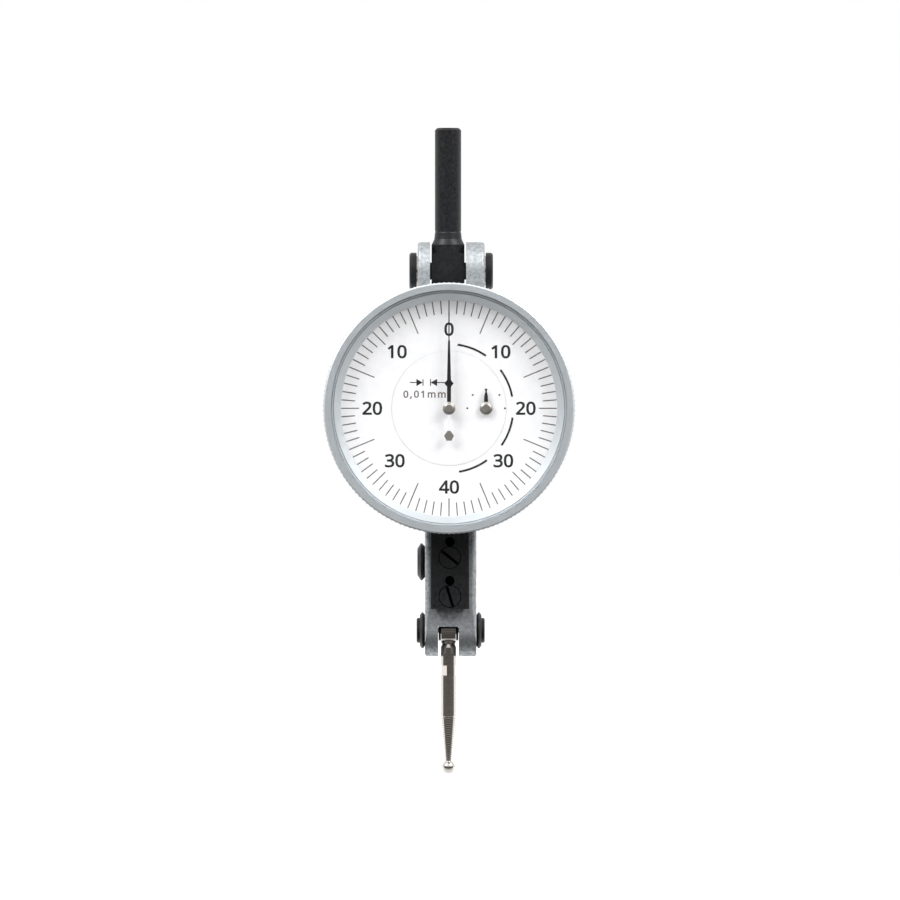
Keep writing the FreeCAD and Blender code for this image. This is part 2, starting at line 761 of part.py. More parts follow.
def pointer_bridge():
    """Bridge under the movement plate that carries the back end of the pointer's arbor."""
    y0 = mesh_y + centre_pinion_length / 2 + bridge_gap
    x0, x1 = -centre_pinion_radius, centre_pinion_radius - 4 * crown_module
    span = box(x0, x1, y0, y0 + bridge_thickness, -bridge_half, bridge_half)
    feet = [box(x0, x1, plate_back_y, y0, side * bridge_half - (bridge_foot if side > 0 else 0),
                side * bridge_half + (0 if side > 0 else bridge_foot)) for side in (-1, 1)]
    bore = rod_y(pivot_radius + running_clearance, y0 - 1, y0 + bridge_thickness + 1)
    return span.fuse(feet).cut(bore)


def crown_jewels():
    bore = rod_x(pivot_radius + running_clearance, bar_left, bar_right, mechanism_y, 0)
    left = rod_x(jewel_radius, cavity_left - jewel_thickness, cavity_left, mechanism_y, 0)
    right = rod_x(jewel_radius, cavity_right, cavity_right + jewel_thickness, mechanism_y, 0)
    return Part.makeCompound([left.cut(bore), right.cut(bore)])


def spiral(radius_shift):
    """Points of the hairspring's spiral from its inner to its outer end."""
    points = []
    steps = spring_turns * 12
    for i in range(steps + 1):
        share = i / steps
        radius = spring_inner_radius + (spring_outer_radius - spring_inner_radius) * share + radius_shift
        points.append(on_circle(radius, 360 * spring_turns * share, spring_y))
    return points


def hairspring():
    inner = Part.BSplineCurve()
    inner.interpolate(spiral(-spring_strip / 2))
    outer = Part.BSplineCurve()
    outer.interpolate(spiral(spring_strip / 2))
    ends = [Part.makeLine(outer.StartPoint, inner.StartPoint), Part.makeLine(inner.EndPoint, outer.EndPoint)]
    wire = Part.Wire([ends[0], inner.toShape(), ends[1], outer.toShape()])
    return Part.Face(wire).extrude(V(0, spring_height, 0))


def hairspring_stud():
    """Post on the movement plate that holds the spring's outer end."""
    radius = spring_outer_radius + spring_strip / 2 + stud_radius
    return rod_y(stud_radius, spring_y, plate_front_y, radius, 0)


# ---- pointer body ----
def pointer_arbor():
    back = mesh_y + centre_pinion_length / 2 + bridge_gap / 2
    upper = rod_y(pointer_arbor_radius, hand_y + hand_thickness, back)
    lower = rod_y(pivot_radius, back - 0.1, back + bridge_gap / 2 + bridge_thickness)
    return upper.fuse(lower)


def on_pointer_arbor(piece):
    return piece.cut(rod_y(pointer_arbor_radius + press_clearance, hand_y, mesh_y + centre_pinion_length))


def centre_pinion():
    outline = gear_outline(centre_pinion_teeth, crown_module, centre_pinion_teeth)
    wheel = gear_y(outline, mesh_y - centre_pinion_length / 2, mesh_y + centre_pinion_length / 2)
    return on_pointer_arbor(wheel)


def counter_pinion():
    outline = gear_outline(counter_pinion_teeth, counter_module, counter_pinion_teeth)
    return on_pointer_arbor(gear_y(outline, counter_pinion_y, counter_pinion_y + counter_pinion_length))


def spring_collet():
    y0 = spring_y + (spring_height - collet_height) / 2
    return on_pointer_arbor(rod_y(collet_radius, y0, y0 + collet_height))


def flat_hand(points, y, thickness):
    return polygon([V(x, y, z) for x, z in points]).extrude(V(0, thickness, 0))


def mirrored(half_outline):
    """A closed outline from its right half, listed from the tip down."""
    return half_outline + [(-x, z) for x, z in reversed(half_outline) if x > 0]


def main_hand():
    needle = mirrored([(0.0, hand_tip), (hand_tip_width / 2, hand_tip - hand_tip_width), (hand_tip_width / 2, hand_step),
                       (hand_step_width / 2, hand_step - hand_tip_width), (hand_root_width / 2, hand_spade + hand_spade_height / 2),
                       (hand_spade_width / 2, hand_spade), (hand_root_width / 2, hand_spade - hand_spade_height / 2),
                       (hand_root_width / 2, 0.0), (hand_neck_width / 2, -hand_tail_start), (hand_neck_width / 2, -hand_tail_neck),
                       (hand_tail_width / 2, -hand_tail_widest), (hand_tail_width / 4, -hand_tail), (0.0, -hand_tail)])
    return flat_hand(needle, hand_y, hand_thickness)


def hand_hub():
    """Turned hub that clamps the hand on its arbor."""
    y1 = hand_y + hand_thickness
    hub = turned_y([(0, hand_y - 0.2), (hub_radius * 0.55, hand_y - 0.2), (hub_radius, hand_y), (0, hand_y)])
    below = rod_y(hub_radius * 0.8, y1, y1 + hub_height - 0.1)
    below = below.cut(rod_y(pointer_arbor_radius + press_clearance, y1 - 1, y1 + 1))
    return Part.makeCompound([hub, below])


# ---- counter body ----
def counter_wheel():
    outline = gear_outline(counter_wheel_teeth, counter_module, counter_wheel_teeth, shift=0.5)
    wheel = gear_y(outline, counter_wheel_y, counter_wheel_y + counter_wheel_thickness, counter_x)
    cuts = [rod_y(arbor_radius + press_clearance, counter_wheel_y - 1, counter_wheel_y + 1, counter_x)]
    for i in range(4):
        spot = on_circle(2.6, 45 + 90 * i, 0, counter_x)
        cuts.append(rod_y(1.1, counter_wheel_y - 1, counter_wheel_y + 1, spot.x, spot.z))
    return wheel.cut(cuts)


def counter_arbor():
    return rod_y(arbor_radius, counter_hand_y + hand_thickness, plate_back_y, counter_x)


def counter_hand():
    bulb = counter_bulb_width / 2
    needle = mirrored([(0.0, counter_hand_tip), (bulb * 0.7, counter_hand_tip - bulb * 0.3), (bulb, counter_hand_tip - bulb),
                       (bulb * 0.7, counter_hand_tip - bulb * 1.7), (bulb * 0.5, counter_hand_tip - bulb * 2.2),
                       (counter_hand_width / 2, counter_hand_waist), (counter_hand_width / 2, 0.0),
                       (0.0, -counter_hand_tail)])
    return flat_hand([(counter_x + x, z) for x, z in needle], counter_hand_y, hand_thickness)


def counter_hub():
    y = counter_hand_y
    hub = turned_y([(0, y - 0.18), (hub_radius * 0.6, y - 0.18), (hub_radius, y), (0, y)], counter_x)
    y1 = y + hand_thickness
    below = rod_y(hub_radius * 0.7, y1, y1 + counter_hub_height, counter_x)
    return Part.makeCompound([hub, below.cut(rod_y(arbor_radius + press_clearance, y1 - 1, y1 + 1, counter_x))])


# ---- crown wheel ----
def crown_wheel():
    """Contrate wheel: teeth stand on the side of a disc and mesh with the pointer's pinion."""
    top_x = centre_pinion_radius - 0.7 * crown_module
    root_x = centre_pinion_radius + 1.1 * crown_module
    ring_out = crown_radius + crown_face / 2
    ring_in = crown_radius - crown_face / 2
    back_x = root_x + crown_disc_thickness
    disc = rod_x(ring_out, root_x, back_x, mechanism_y, 0)
    hub = rod_x(2.2 * arbor_radius, back_x, back_x + 0.5, mechanism_y, 0)
    wheel = disc.fuse(hub)
    step = 360.0 / crown_teeth
    half_root = crown_module * math.pi * 0.23
    half_top = crown_module * math.pi * 0.1
    section = [V(root_x + 0.05, -ring_in, -half_root), V(top_x, -ring_in, -half_top), V(top_x, -ring_in, half_top),
               V(root_x + 0.05, -ring_in, half_root)]
    tooth = polygon(section).extrude(V(0, -crown_face, 0))
    teeth = []
    for i in range(crown_teeth):
        copy = tooth.copy()
        copy.rotate(V(0, 0, 0), X_AXIS, i * step)
        copy.translate(V(0, mechanism_y, 0))
        teeth.append(copy)
    wheel = wheel.fuse(teeth)
    lightening = [rod_x(1.0, root_x - 1, back_x + 1, mechanism_y + 2.5 * math.cos(a), 2.5 * math.sin(a))
                  for a in (math.pi / 4 + i * math.pi / 2 for i in range(4))]
    bore = rod_x(arbor_radius + press_clearance, bar_left, bar_right, mechanism_y, 0)
    return wheel.cut(lightening + [bore])


def crown_arbor():
    shaft = rod_x(arbor_radius, cavity_left + side_clearance, cavity_right - side_clearance, mechanism_y, 0)
    ends = rod_x(pivot_radius, cavity_left - jewel_thickness + 0.05, cavity_right + jewel_thickness - 0.05, mechanism_y, 0)
    return shaft.fuse(ends)


def crown_pinion():
    outline = gear_outline(crown_pinion_teeth, sector_module, crown_pinion_teeth)
    x0 = sector_x - (crown_pinion_length - sector_thickness) / 2
    wheel = gear_x(outline, x0, x0 + crown_pinion_length, mechanism_y, 0)
    return wheel.cut(rod_x(arbor_radius + press_clearance, bar_left, bar_right, mechanism_y, 0))


# ---- sector ----
def sector_gear():
    """Lever with a toothed end: teeth on an arc about its pivot, and a short arm that carries the drive pin."""
    outline = gear_outline(sector_teeth_per_turn, sector_module, sector_tooth_count, top=0.6, foot=1.1)
    span = outline[-1][1]
    rim = sector_radius - sector_rim
    blade = list(outline)
    root = 0.8 * sector_hub_radius
    blade += [(rim, span), (sector_neck_radius, sector_neck_angle), (root, sector_root_angle), (root, -sector_root_angle),
              (sector_neck_radius, -sector_neck_angle),
              (rim, -span)]
    x0, x1 = sector_x, sector_x + sector_thickness
    plate = gear_x(blade, x0, x1, mechanism_y, sector_pivot_z)
    hub = rod_x(sector_hub_radius, x0, x1, mechanism_y, sector_pivot_z)
    arm = box(x0, x1, mechanism_y - 0.8, mechanism_y + 0.8, drive_pin_z, sector_pivot_z)
    end = rod_x(0.8, x0, x1, mechanism_y, drive_pin_z)
    plate = plate.fuse([hub, arm, end])
    holes = [rod_x(sector_arbor_radius + press_clearance, x0 - 1, x1 + 1, mechanism_y, sector_pivot_z),
             rod_x(drive_pin_radius + press_clearance, x0 - 1, x1 + 1, mechanism_y, drive_pin_z)]
    for distance in sector_hole_places:
        holes.append(rod_x(sector_hole_radius, x0 - 1, x1 + 1, mechanism_y, sector_pivot_z + distance))
    return plate.cut(holes)




def sector_arbor():
    shaft = rod_x(sector_arbor_radius, cavity_left + side_clearance, cavity_right - side_clearance, mechanism_y,
                  sector_pivot_z)
    ends = rod_x(pivot_radius, bar_left + 0.1, bar_right - 0.1, mechanism_y, sector_pivot_z)
    return shaft.fuse(ends)


def drive_pin():
    return rod_x(drive_pin_radius, sector_x, mechanism_x + lever_thickness / 2 + 0.1, mechanism_y, drive_pin_z)


# ---- contact lever ----
def contact_lever():
    """Two cheeks on the axle, a bridge over the swivel boss and a forked arm that takes the drive pin."""
    outer = nose_slot_width / 2 - side_clearance
    inner = lever_cheek_gap / 2
    bridge_z = nose_pivot_z + holder_boss_radius + lever_bridge_gap
    top_z = bridge_z + lever_bridge_height
    y, z, x = mechanism_y, nose_pivot_z, mechanism_x
    half = lever_arm_width / 2
    cheeks = rod_x(lever_cheek_radius, x - outer, x + outer, y, z)
    cheeks = cheeks.fuse(box(x - outer, x + outer, y - half, y + half, z, top_z))
    cheeks = cheeks.cut(box(x - inner, x + inner, y - 4, y + 4, z - 4, bridge_z))
    arm_top = drive_pin_z + drive_pin_radius + 0.6
    arm = box(x - lever_thickness / 2, x + lever_thickness / 2, y - half, y + half, top_z - 0.1, arm_top)
    slot = drive_pin_radius + running_clearance
    fork = box(x - 1, x + 1, y - slot, y + slot, drive_pin_z - drive_pin_radius - 0.3, arm_top + 1)
    bore = rod_x(axle_radius + press_clearance, x - 2, x + 2, y, z)
    return cheeks.fuse(arm).cut([fork, bore])


def lever_axle():
    middle = nose_slot_width / 2 - side_clearance
    shaft = rod_x(axle_radius, mechanism_x - middle, mechanism_x + middle, mechanism_y, nose_pivot_z)
    return shaft.fuse(rod_x(axle_pivot_radius, mechanism_x - axle_half, mechanism_x + axle_half, mechanism_y, nose_pivot_z))


# ---- contact point ----
def stylus_holder():
    half = lever_cheek_gap / 2 - holder_side_gap
    boss = rod_x(holder_boss_radius, mechanism_x - half, mechanism_x + half, mechanism_y, nose_pivot_z)
    foot = rod_z(contact_radius * 0.92, contact_top_z, nose_pivot_z, mechanism_x, mechanism_y)
    foot = foot.common(box(mechanism_x - half, mechanism_x + half, mechanism_y - 3, mechanism_y + 3, contact_top_z, nose_pivot_z))
    holes = [rod_x(axle_radius + running_clearance, mechanism_x - 3, mechanism_x + 3, mechanism_y, nose_pivot_z),
             rod_z(contact_stub_radius + 0.01, contact_top_z - 1, contact_top_z + contact_stub_length + 0.05,
                   mechanism_x, mechanism_y)]
    return boss.fuse(foot).cut(holes)


def contact_shank():
    seat = math.sqrt(ball_radius ** 2 - contact_tip_radius ** 2)
    profile = [(0, contact_top_z + contact_stub_length), (contact_stub_radius, contact_top_z + contact_stub_length),
               (contact_stub_radius, contact_top_z), (contact_radius * 0.8, contact_top_z),
               (contact_radius, contact_shoulder_z), (contact_radius, contact_taper_z),
               (contact_tip_radius, contact_tip_z), (contact_tip_radius, ball_z + seat), (0, ball_z + seat)]
    shank = turned_z(profile, mechanism_x, mechanism_y)
    flats = []
    for side in (-1, 1):
        y0, y1 = sorted((side * wrench_across_flats / 2, side * 2 * contact_radius))
        flat = box(-2 * contact_radius, 2 * contact_radius, y0, y1, wrench_flat_top_z - wrench_flat_height,
                   wrench_flat_top_z)
        flat.rotate(V(0, 0, 0), Z_AXIS, -wrench_flat_turn)
        flat.translate(V(mechanism_x, mechanism_y, 0))
        flats.append(flat)
    return shank.cut(flats)


def contact_ball():
    ball = Part.makeSphere(ball_radius, V(mechanism_x, mechanism_y, ball_z))
    seat = math.sqrt(ball_radius ** 2 - contact_tip_radius ** 2)
    return ball.cut(rod_z(contact_tip_radius + 0.2, ball_z + seat, ball_z + 2, mechanism_x, mechanism_y))


# ---- build ----
os.makedirs("parts", exist_ok=True)
pieces = {
    "housing": housing, "back_cover": back_cover, "back_cover_screws": cover_screws,
    "dovetail_plate": dovetail_plate, "dovetail_screws": dovetail_screws,
    "sector_cap": sector_cap, "sector_bushes": sector_bushes, "stem_washers": stem_washers, "stem": stem,
    "bezel_ring": bezel_ring, "crystal": crystal, "crystal_gasket": crystal_gasket,
    "bezel_retaining_wire": retaining_wire, "dial_ring": dial_ring, "centre_dial": centre_dial,
    "movement_plate": movement_plate, "movement_plate_screws": plate_screws, "dial_posts": dial_posts,
    "hand_arbor_jewels": plate_jewels, "pointer_bridge": pointer_bridge, "crown_jewels": crown_jewels,
    "hairspring": hairspring, "hairspring_stud": hairspring_stud, "hairspring_collet": spring_collet,
    "pointer_arbor": pointer_arbor, "pointer_pinion": centre_pinion, "counter_pinion": counter_pinion,
    "main_hand": main_hand, "main_hand_hub": hand_hub, "counter_wheel": counter_wheel,
    "counter_arbor": counter_arbor, "counter_hand": counter_hand, "counter_hand_hub": counter_hub,
    "crown_wheel": crown_wheel, "crown_arbor": crown_arbor, "crown_pinion": crown_pinion,
    "sector_gear": sector_gear, "sector_arbor": sector_arbor, "drive_pin": drive_pin,
    "contact_lever": contact_lever, "lever_axle": lever_axle, "stylus_holder": stylus_holder,
    "contact_shank": contact_shank, "contact_ball": contact_ball,
}
for name, make in pieces.items():
    export(name, make())
for name, side in (("left", -1), ("right", 1)):
    export("nose_pivot_screw_" + name, nose_pivot_screw(side))
    export("stem_pivot_screw_" + name, stem_pivot_screw(side))
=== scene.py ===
# %% [markdown]
# # A dial test indicator, dressed round its CAD frame
#
# A dial test indicator shows how far a small ball at its lower end is pushed sideways. A bar carries a round
# dial case, a black stem that a holder clamps, and a thin contact point. The solids come from the CAD frame
# and keep their places and sizes. This script gives them their finishes, adds what is printed on the dial,
# and lights them as in a small studio.

# %% Load the CAD frame
import math
import os
import bmesh
import bpy
from mathutils import Matrix, Vector


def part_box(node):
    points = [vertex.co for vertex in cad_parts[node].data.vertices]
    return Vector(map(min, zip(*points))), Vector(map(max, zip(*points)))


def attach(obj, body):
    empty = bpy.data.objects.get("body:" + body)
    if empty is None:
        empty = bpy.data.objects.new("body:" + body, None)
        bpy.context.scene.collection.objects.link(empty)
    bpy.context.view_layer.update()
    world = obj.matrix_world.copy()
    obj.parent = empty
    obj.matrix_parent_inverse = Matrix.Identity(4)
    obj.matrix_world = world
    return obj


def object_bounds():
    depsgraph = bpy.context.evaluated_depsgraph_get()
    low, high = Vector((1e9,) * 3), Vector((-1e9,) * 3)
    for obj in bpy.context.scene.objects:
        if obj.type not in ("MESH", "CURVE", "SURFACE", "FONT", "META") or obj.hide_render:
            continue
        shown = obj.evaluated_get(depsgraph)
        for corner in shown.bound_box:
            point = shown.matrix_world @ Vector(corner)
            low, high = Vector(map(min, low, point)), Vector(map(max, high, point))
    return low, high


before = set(bpy.data.objects)
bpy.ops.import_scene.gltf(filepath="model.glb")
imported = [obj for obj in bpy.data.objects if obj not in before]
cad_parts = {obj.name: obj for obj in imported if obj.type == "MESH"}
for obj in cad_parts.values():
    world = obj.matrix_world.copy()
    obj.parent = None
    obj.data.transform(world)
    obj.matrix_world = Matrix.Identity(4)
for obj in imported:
    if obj.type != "MESH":
        bpy.data.objects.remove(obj)

cad_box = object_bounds()

# %% [markdown]
# ## Units and the dial's place
#
# The frame is in metres and a gauge is small, so sizes below are written in millimetres and multiplied by
# MM. The box round the dial ring gives the dial's centre and the plane of its printed face, so the prints
# follow the ring if its size ever changes. Typed numbers would do as well, but they would go stale.

# %% Measure the dial
MM = 0.001
ring_low, ring_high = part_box("dial_ring")
DIAL_X = (ring_low.x + ring_high.x) / 2
DIAL_Z = (ring_low.z + ring_high.z) / 2
FACE_Y = ring_low.y
print("dial centre", round(DIAL_X / MM, 2), round(DIAL_Z / MM, 2), "mm, face at", round(FACE_Y / MM, 2), "mm")

# %% [markdown]
# ## Colours and nodes
#
# A colour is written as it is picked on a screen, in sRGB hex, and shaders want it linear, so one function
# turns it. A second adds a node with its settings and links: a value that is a socket is linked, any other
# is set. A third starts a material on its Principled shader, with constant values on the shader's sockets.
# Each material could as well be built by hand in the Shading editor, but a script can be read and rerun.


# %% Tools for colours, nodes and materials
def linear(hex_colour):
    """sRGB hex as the linear RGBA that shader sockets take."""
    parts = [int(hex_colour[i:i + 2], 16) / 255 for i in (1, 3, 5)]
    return [c / 12.92 if c <= 0.04045 else ((c + 0.055) / 1.055) ** 2.4 for c in parts] + [1.0]


def add(tree, kind, inputs=None, take=0, to=None, **settings):
    """A shader node with its settings and links.

    Inputs go by socket identifier, and sockets among them are linked. The output named by `take` is linked to
    the socket `to`, if there is one, and returned.
    """
    node = tree.nodes.new("ShaderNode" + kind)
    for name, value in settings.items():
        setattr(node, name, value)
    sockets = {s.identifier: s for s in node.inputs}
    for name, value in (inputs or {}).items():
        if isinstance(value, bpy.types.NodeSocket):
            tree.links.new(value, sockets[name])
        else:
            sockets[name].default_value = value
    if to:
        tree.links.new(node.outputs[take], to)
    return node.outputs[take]


def new_material(name, colour, metallic, roughness, **sockets):
    """A material on one Principled shader, with its constant values set on the shader's own sockets."""
    material = bpy.data.materials.new(name)
    material.use_nodes = True
    shader = material.node_tree.nodes["Principled BSDF"]
    shader.inputs["Base Color"].default_value = linear(colour)
    shader.inputs["Metallic"].default_value = metallic
    shader.inputs["Roughness"].default_value = roughness
    for name, value in sockets.items():
        shader.inputs[name.replace("_", " ")].default_value = value
    return material, material.node_tree, shader


print("a middle grey of the screen in linear light:", round(linear("#808080")[0], 3))

# %% [markdown]
# ## Patterns shared by the metals
#
# Metal is never quite even. Cloudy noise stands for mottle, grain and tool lines alike, because its size and
# its stretch can be given: round clouds for blasted metal, long ones for brushed. It reads Object coordinates
# in real millimetres, so it stays on the piece when a joint turns. Each finish then spreads it over a range
# of gloss, blends two shades by it, or dents the surface with it.

# %% Patterns from real sizes
NOISE_LOW = 0.35                # noise seldom leaves this range
NOISE_HIGH = 0.65
NOISE_RANGE = {"From Min": NOISE_LOW, "From Max": NOISE_HIGH}
MIXED_COLOUR = 2                # the place of the colour among a Mix node's outputs


def mottle(tree, size, detail=3.0, stretch=(1, 1, 1)):
    """Cloudy noise with features about `size` mm across, stretched along an axis by a factor under 1."""
    place = add(tree, "TexCoord", take="Object")
    mapped = add(tree, "Mapping", {"Vector": place, "Scale": stretch})
    return add(tree, "TexNoise", {"Vector": mapped, "Scale": 1 / (size * MM), "Detail": detail,
                                  "Roughness": 0.55}, take="Fac")


print("noise is read from", NOISE_LOW, "to", NOISE_HIGH)

# %% [markdown]
# ## Satin-chromed casting
#
# The bar and case are one casting that was blasted and then plated with satin chrome. Blasting leaves small
# dull pits, so the grey is mottled and sparkles softly, lighter on the high spots. An image of real metal
# could be wrapped round it, but noise needs no unwrapping and has no seam. The grit's own grain is too fine
# to show, so it is drawn about three times as coarse.

# %% The bar and the case
CAST_CLOUD = 0.55               # mm across a cloud of the blasting
CAST_GRAIN = 0.16               # mm across a pit, drawn coarser than the grit leaves it
CAST_PIT_DEPTH = 0.012
PIT_STARTS = 0.55               # the grain's level where a pit turns dark
PIT_FULL = 0.75                 # and where it is darkest
PIT_DARKNESS = 0.4


def satin_chromed_casting():
    material, tree, shader = new_material("satin_chromed_casting", "#b9bdc0", 1.0, 0.5)
    cloud = mottle(tree, CAST_CLOUD, detail=4)
    grain = mottle(tree, CAST_GRAIN, detail=2)
    paleness = add(tree, "MapRange", {"Value": cloud, **NOISE_RANGE, "To Min": 0.0, "To Max": 1.0})
    greys = add(tree, "Mix", {"Factor_Float": paleness, "A_Color": linear("#a3a8ab"),
                              "B_Color": linear("#c6cacc")}, take=MIXED_COLOUR, data_type="RGBA")
    pits = add(tree, "MapRange", {"Value": grain, "From Min": PIT_STARTS, "From Max": PIT_FULL,
                                  "To Min": 0.0, "To Max": PIT_DARKNESS})
    add(tree, "Mix", {"Factor_Float": pits, "A_Color": greys, "B_Color": linear("#6d7173")},
        take=MIXED_COLOUR, to=shader.inputs["Base Color"], data_type="RGBA")
    add(tree, "MapRange", {"Value": cloud, **NOISE_RANGE, "To Min": 0.68, "To Max": 0.52},
        to=shader.inputs["Roughness"])
    add(tree, "Bump", {"Height": grain, "Distance": CAST_PIT_DEPTH * MM}, to=shader.inputs["Normal"])
    return material


CASTING = satin_chromed_casting()
print("casting: clouds of", CAST_CLOUD, "mm, pits of", CAST_GRAIN, "mm")

# %% [markdown]
# ## Satin chrome on milled parts
#
# The back cover and the movement plate are milled, brushed fine and plated. They are more even than the
# casting and a little bluish. Real brushing is finer than a render shows, so only the roughness varies, in
# streaks, and the surface stays smooth.

# %% The cover and the plates
BRUSH_STREAK = 0.2              # mm across a brushed streak
BRUSH_STRETCH = (1, 0.15, 1)
BRUSH_SWING = 0.06              # how far the roughness goes up and down


def satin_chrome(name, colour, roughness):
    material, tree, shader = new_material(name, colour, 1.0, roughness)
    fine = mottle(tree, BRUSH_STREAK, detail=2, stretch=BRUSH_STRETCH)
    add(tree, "MapRange", {"Value": fine, **NOISE_RANGE, "To Min": roughness - BRUSH_SWING,
                           "To Max": roughness + BRUSH_SWING}, to=shader.inputs["Roughness"])
    return material


CHROME = satin_chrome("satin_chrome", "#c9ced3", 0.42)
print("chrome: streaks of", BRUSH_STREAK, "mm")

# %% [markdown]
# ## The bezel's rim and slope
#
# The bezel has the same plating, turned to a paler satin. Inside its lip it slopes down to the dial, and that
# slope is less metallic, so that it throws no glare on the scale, and painted a darker grey for the shade
# under the lip. The slope could be cut off as a piece with a material of its own. Here the distance from the
# dial's axis tells rim from slope, which leaves the solid in one piece.

# %% The bezel
SLOPE_END = 17.75               # mm from the dial's axis, just inside the lip
RIM_START = 17.8
DULL_SLOPE = 0.6                # how metallic the slope still looks


def satin_chrome_bezel(colour, shaded_slope_colour, roughness):
    material = satin_chrome("satin_chrome_bezel", colour, roughness)
    tree = material.node_tree
    shader = tree.nodes["Principled BSDF"]
    place = add(tree, "TexCoord", take="Object")
    centred = add(tree, "VectorMath", {"Vector": place, "Vector_001": (DIAL_X, FACE_Y, DIAL_Z)},
                  operation="SUBTRACT")
    flat = add(tree, "VectorMath", {"Vector": centred, "Vector_001": (1, 0, 1)}, operation="MULTIPLY")
    radius = add(tree, "VectorMath", {"Vector": flat}, take="Value", operation="LENGTH")
    inside = add(tree, "MapRange", {"Value": radius, "From Min": SLOPE_END * MM, "From Max": RIM_START * MM,
                                    "To Min": 1.0, "To Max": 0.0})
    # The slope's darker grey is painted shade from under the lip; its lower metallic is a duller finish.
    add(tree, "Mix", {"Factor_Float": inside, "A_Color": linear(colour), "B_Color": linear(shaded_slope_colour)},
        take=MIXED_COLOUR, to=shader.inputs["Base Color"], data_type="RGBA")
    add(tree, "MapRange", {"Value": inside, "To Min": 1.0, "To Max": DULL_SLOPE},
        to=shader.inputs["Metallic"])
    return material


BEZEL_CHROME = satin_chrome_bezel("#e2e8ec", "#c4c9cc", 0.5)
print("bezel: duller inside", SLOPE_END, "mm from the dial's axis")

# %% [markdown]
# ## Burnished black steel
#
# The stem, the dovetail and the screws are steel that was blackened in a hot salt bath. The thin oxide is
# nearly black with a dull sheen, so the shader is only partly metallic. On screws the edges turn brown-grey:
# partly wear where hands and drivers rub, partly a painted highlight where the edges catch the light. A Bevel
# node finds those edges: where the rounded normal leaves the true one, an edge is near.

# %% The black parts
BLACK_CLOUD = 0.4               # mm across a cloud of the oxide
BLACK_DENT = 0.01
EDGE_LIGHT_WIDTH = 0.12             # mm from an edge that the wear and the painted highlight reach
EDGE_STARTS = 0.97              # how well the two normals agree where an edge starts
EDGE_FULL = 0.8                 # and on the edge itself


def edge_highlight_and_wear(tree, radius):
    """1 on edges, which take wear from hands and screwdrivers and a painted highlight, 0 on flats; radius in
    mm.
    """
    rounded = add(tree, "Bevel", {"Radius": radius * MM}, samples=4)
    true = add(tree, "NewGeometry", take="Normal")
    alike = add(tree, "VectorMath", {"Vector": rounded, "Vector_001": true}, take="Value",
                operation="DOT_PRODUCT")
    return add(tree, "MapRange", {"Value": alike, "From Min": EDGE_STARTS, "From Max": EDGE_FULL,
                                  "To Min": 0.0, "To Max": 1.0})


def burnished_steel(name, wear_and_highlight):
    material, tree, shader = new_material(name, "#141517", 0.4, 0.42)
    cloud = mottle(tree, BLACK_CLOUD, detail=4)
    paleness = add(tree, "MapRange", {"Value": cloud, **NOISE_RANGE, "To Min": 0.0, "To Max": 1.0})
    colour = add(tree, "Mix", {"Factor_Float": paleness, "A_Color": linear("#161719"),
                               "B_Color": linear("#242527")}, take=MIXED_COLOUR, data_type="RGBA")
    if wear_and_highlight:
        edge = add(tree, "Math", {"Value": edge_highlight_and_wear(tree, EDGE_LIGHT_WIDTH), "Value_001": wear_and_highlight},
                   operation="MULTIPLY")
        # Brown-grey on the edges: wear together with a painted highlight.
        colour = add(tree, "Mix", {"Factor_Float": edge, "A_Color": colour, "B_Color": linear("#6b625a")},
                     take=MIXED_COLOUR, data_type="RGBA")
    tree.links.new(colour, shader.inputs["Base Color"])
    add(tree, "MapRange", {"Value": cloud, **NOISE_RANGE, "To Min": 0.38, "To Max": 0.5},
        to=shader.inputs["Roughness"])
    add(tree, "Bump", {"Height": cloud, "Distance": BLACK_DENT * MM}, to=shader.inputs["Normal"])
    return material


BLACK = burnished_steel("burnished_steel", 0.0)
BLACK_EDGE_LIT = burnished_steel("burnished_steel_edge_lit", 0.8)
print("black steel: wear reaches", EDGE_LIGHT_WIDTH, "mm from an edge")

# %% [markdown]
# ## Bright turned steel
#
# Arbors, pins and small screws are bright steel, turned between centres. The tool leaves rings that can't be
# told apart at this size, so they only make the gloss vary along each piece.

# %% The arbors and the contact point's steel
ARBOR_FEED = 0.12               # mm between rough and smooth rings
TURNED_STRETCH = (0.05, 0.05, 1)
SMOOTH_SHARE = 0.6              # roughness of the smoothest ring over that of the piece
ROUGH_SHARE = 1.5


def turned_steel(name, colour, roughness, feed):
    material, tree, shader = new_material(name, colour, 1.0, roughness)
    rings = mottle(tree, feed, detail=2, stretch=TURNED_STRETCH)
    add(tree, "MapRange", {"Value": rings, **NOISE_RANGE, "To Min": roughness * SMOOTH_SHARE,
                           "To Max": roughness * ROUGH_SHARE}, to=shader.inputs["Roughness"])
    return material


BRIGHT = turned_steel("turned_bright_steel", "#b9b2a8", 0.2, ARBOR_FEED)
print("bright steel: feed of", ARBOR_FEED, "mm")

# %% [markdown]
# ## The contact point
#
# The contact point is hardened steel, polished, with fine rings left on its taper by the tool. They could be
# cut into the mesh, but at this size a sine wave as bump looks the same and costs nothing. It works on the
# lowest part of the shank alone. The rings are drawn coarser than the real feed, so that they show.

# %% The contact point
POINT_FEED = 0.3                # mm between rough and smooth rings
RING_PITCH = 0.34               # mm between the rings on the taper, coarser than the real ones
RINGED_HEIGHT = 6.8             # mm of the shank, from its lower end, that keep the rings
RING_DEPTH = 0.012
shank_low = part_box("contact_shank")[0]


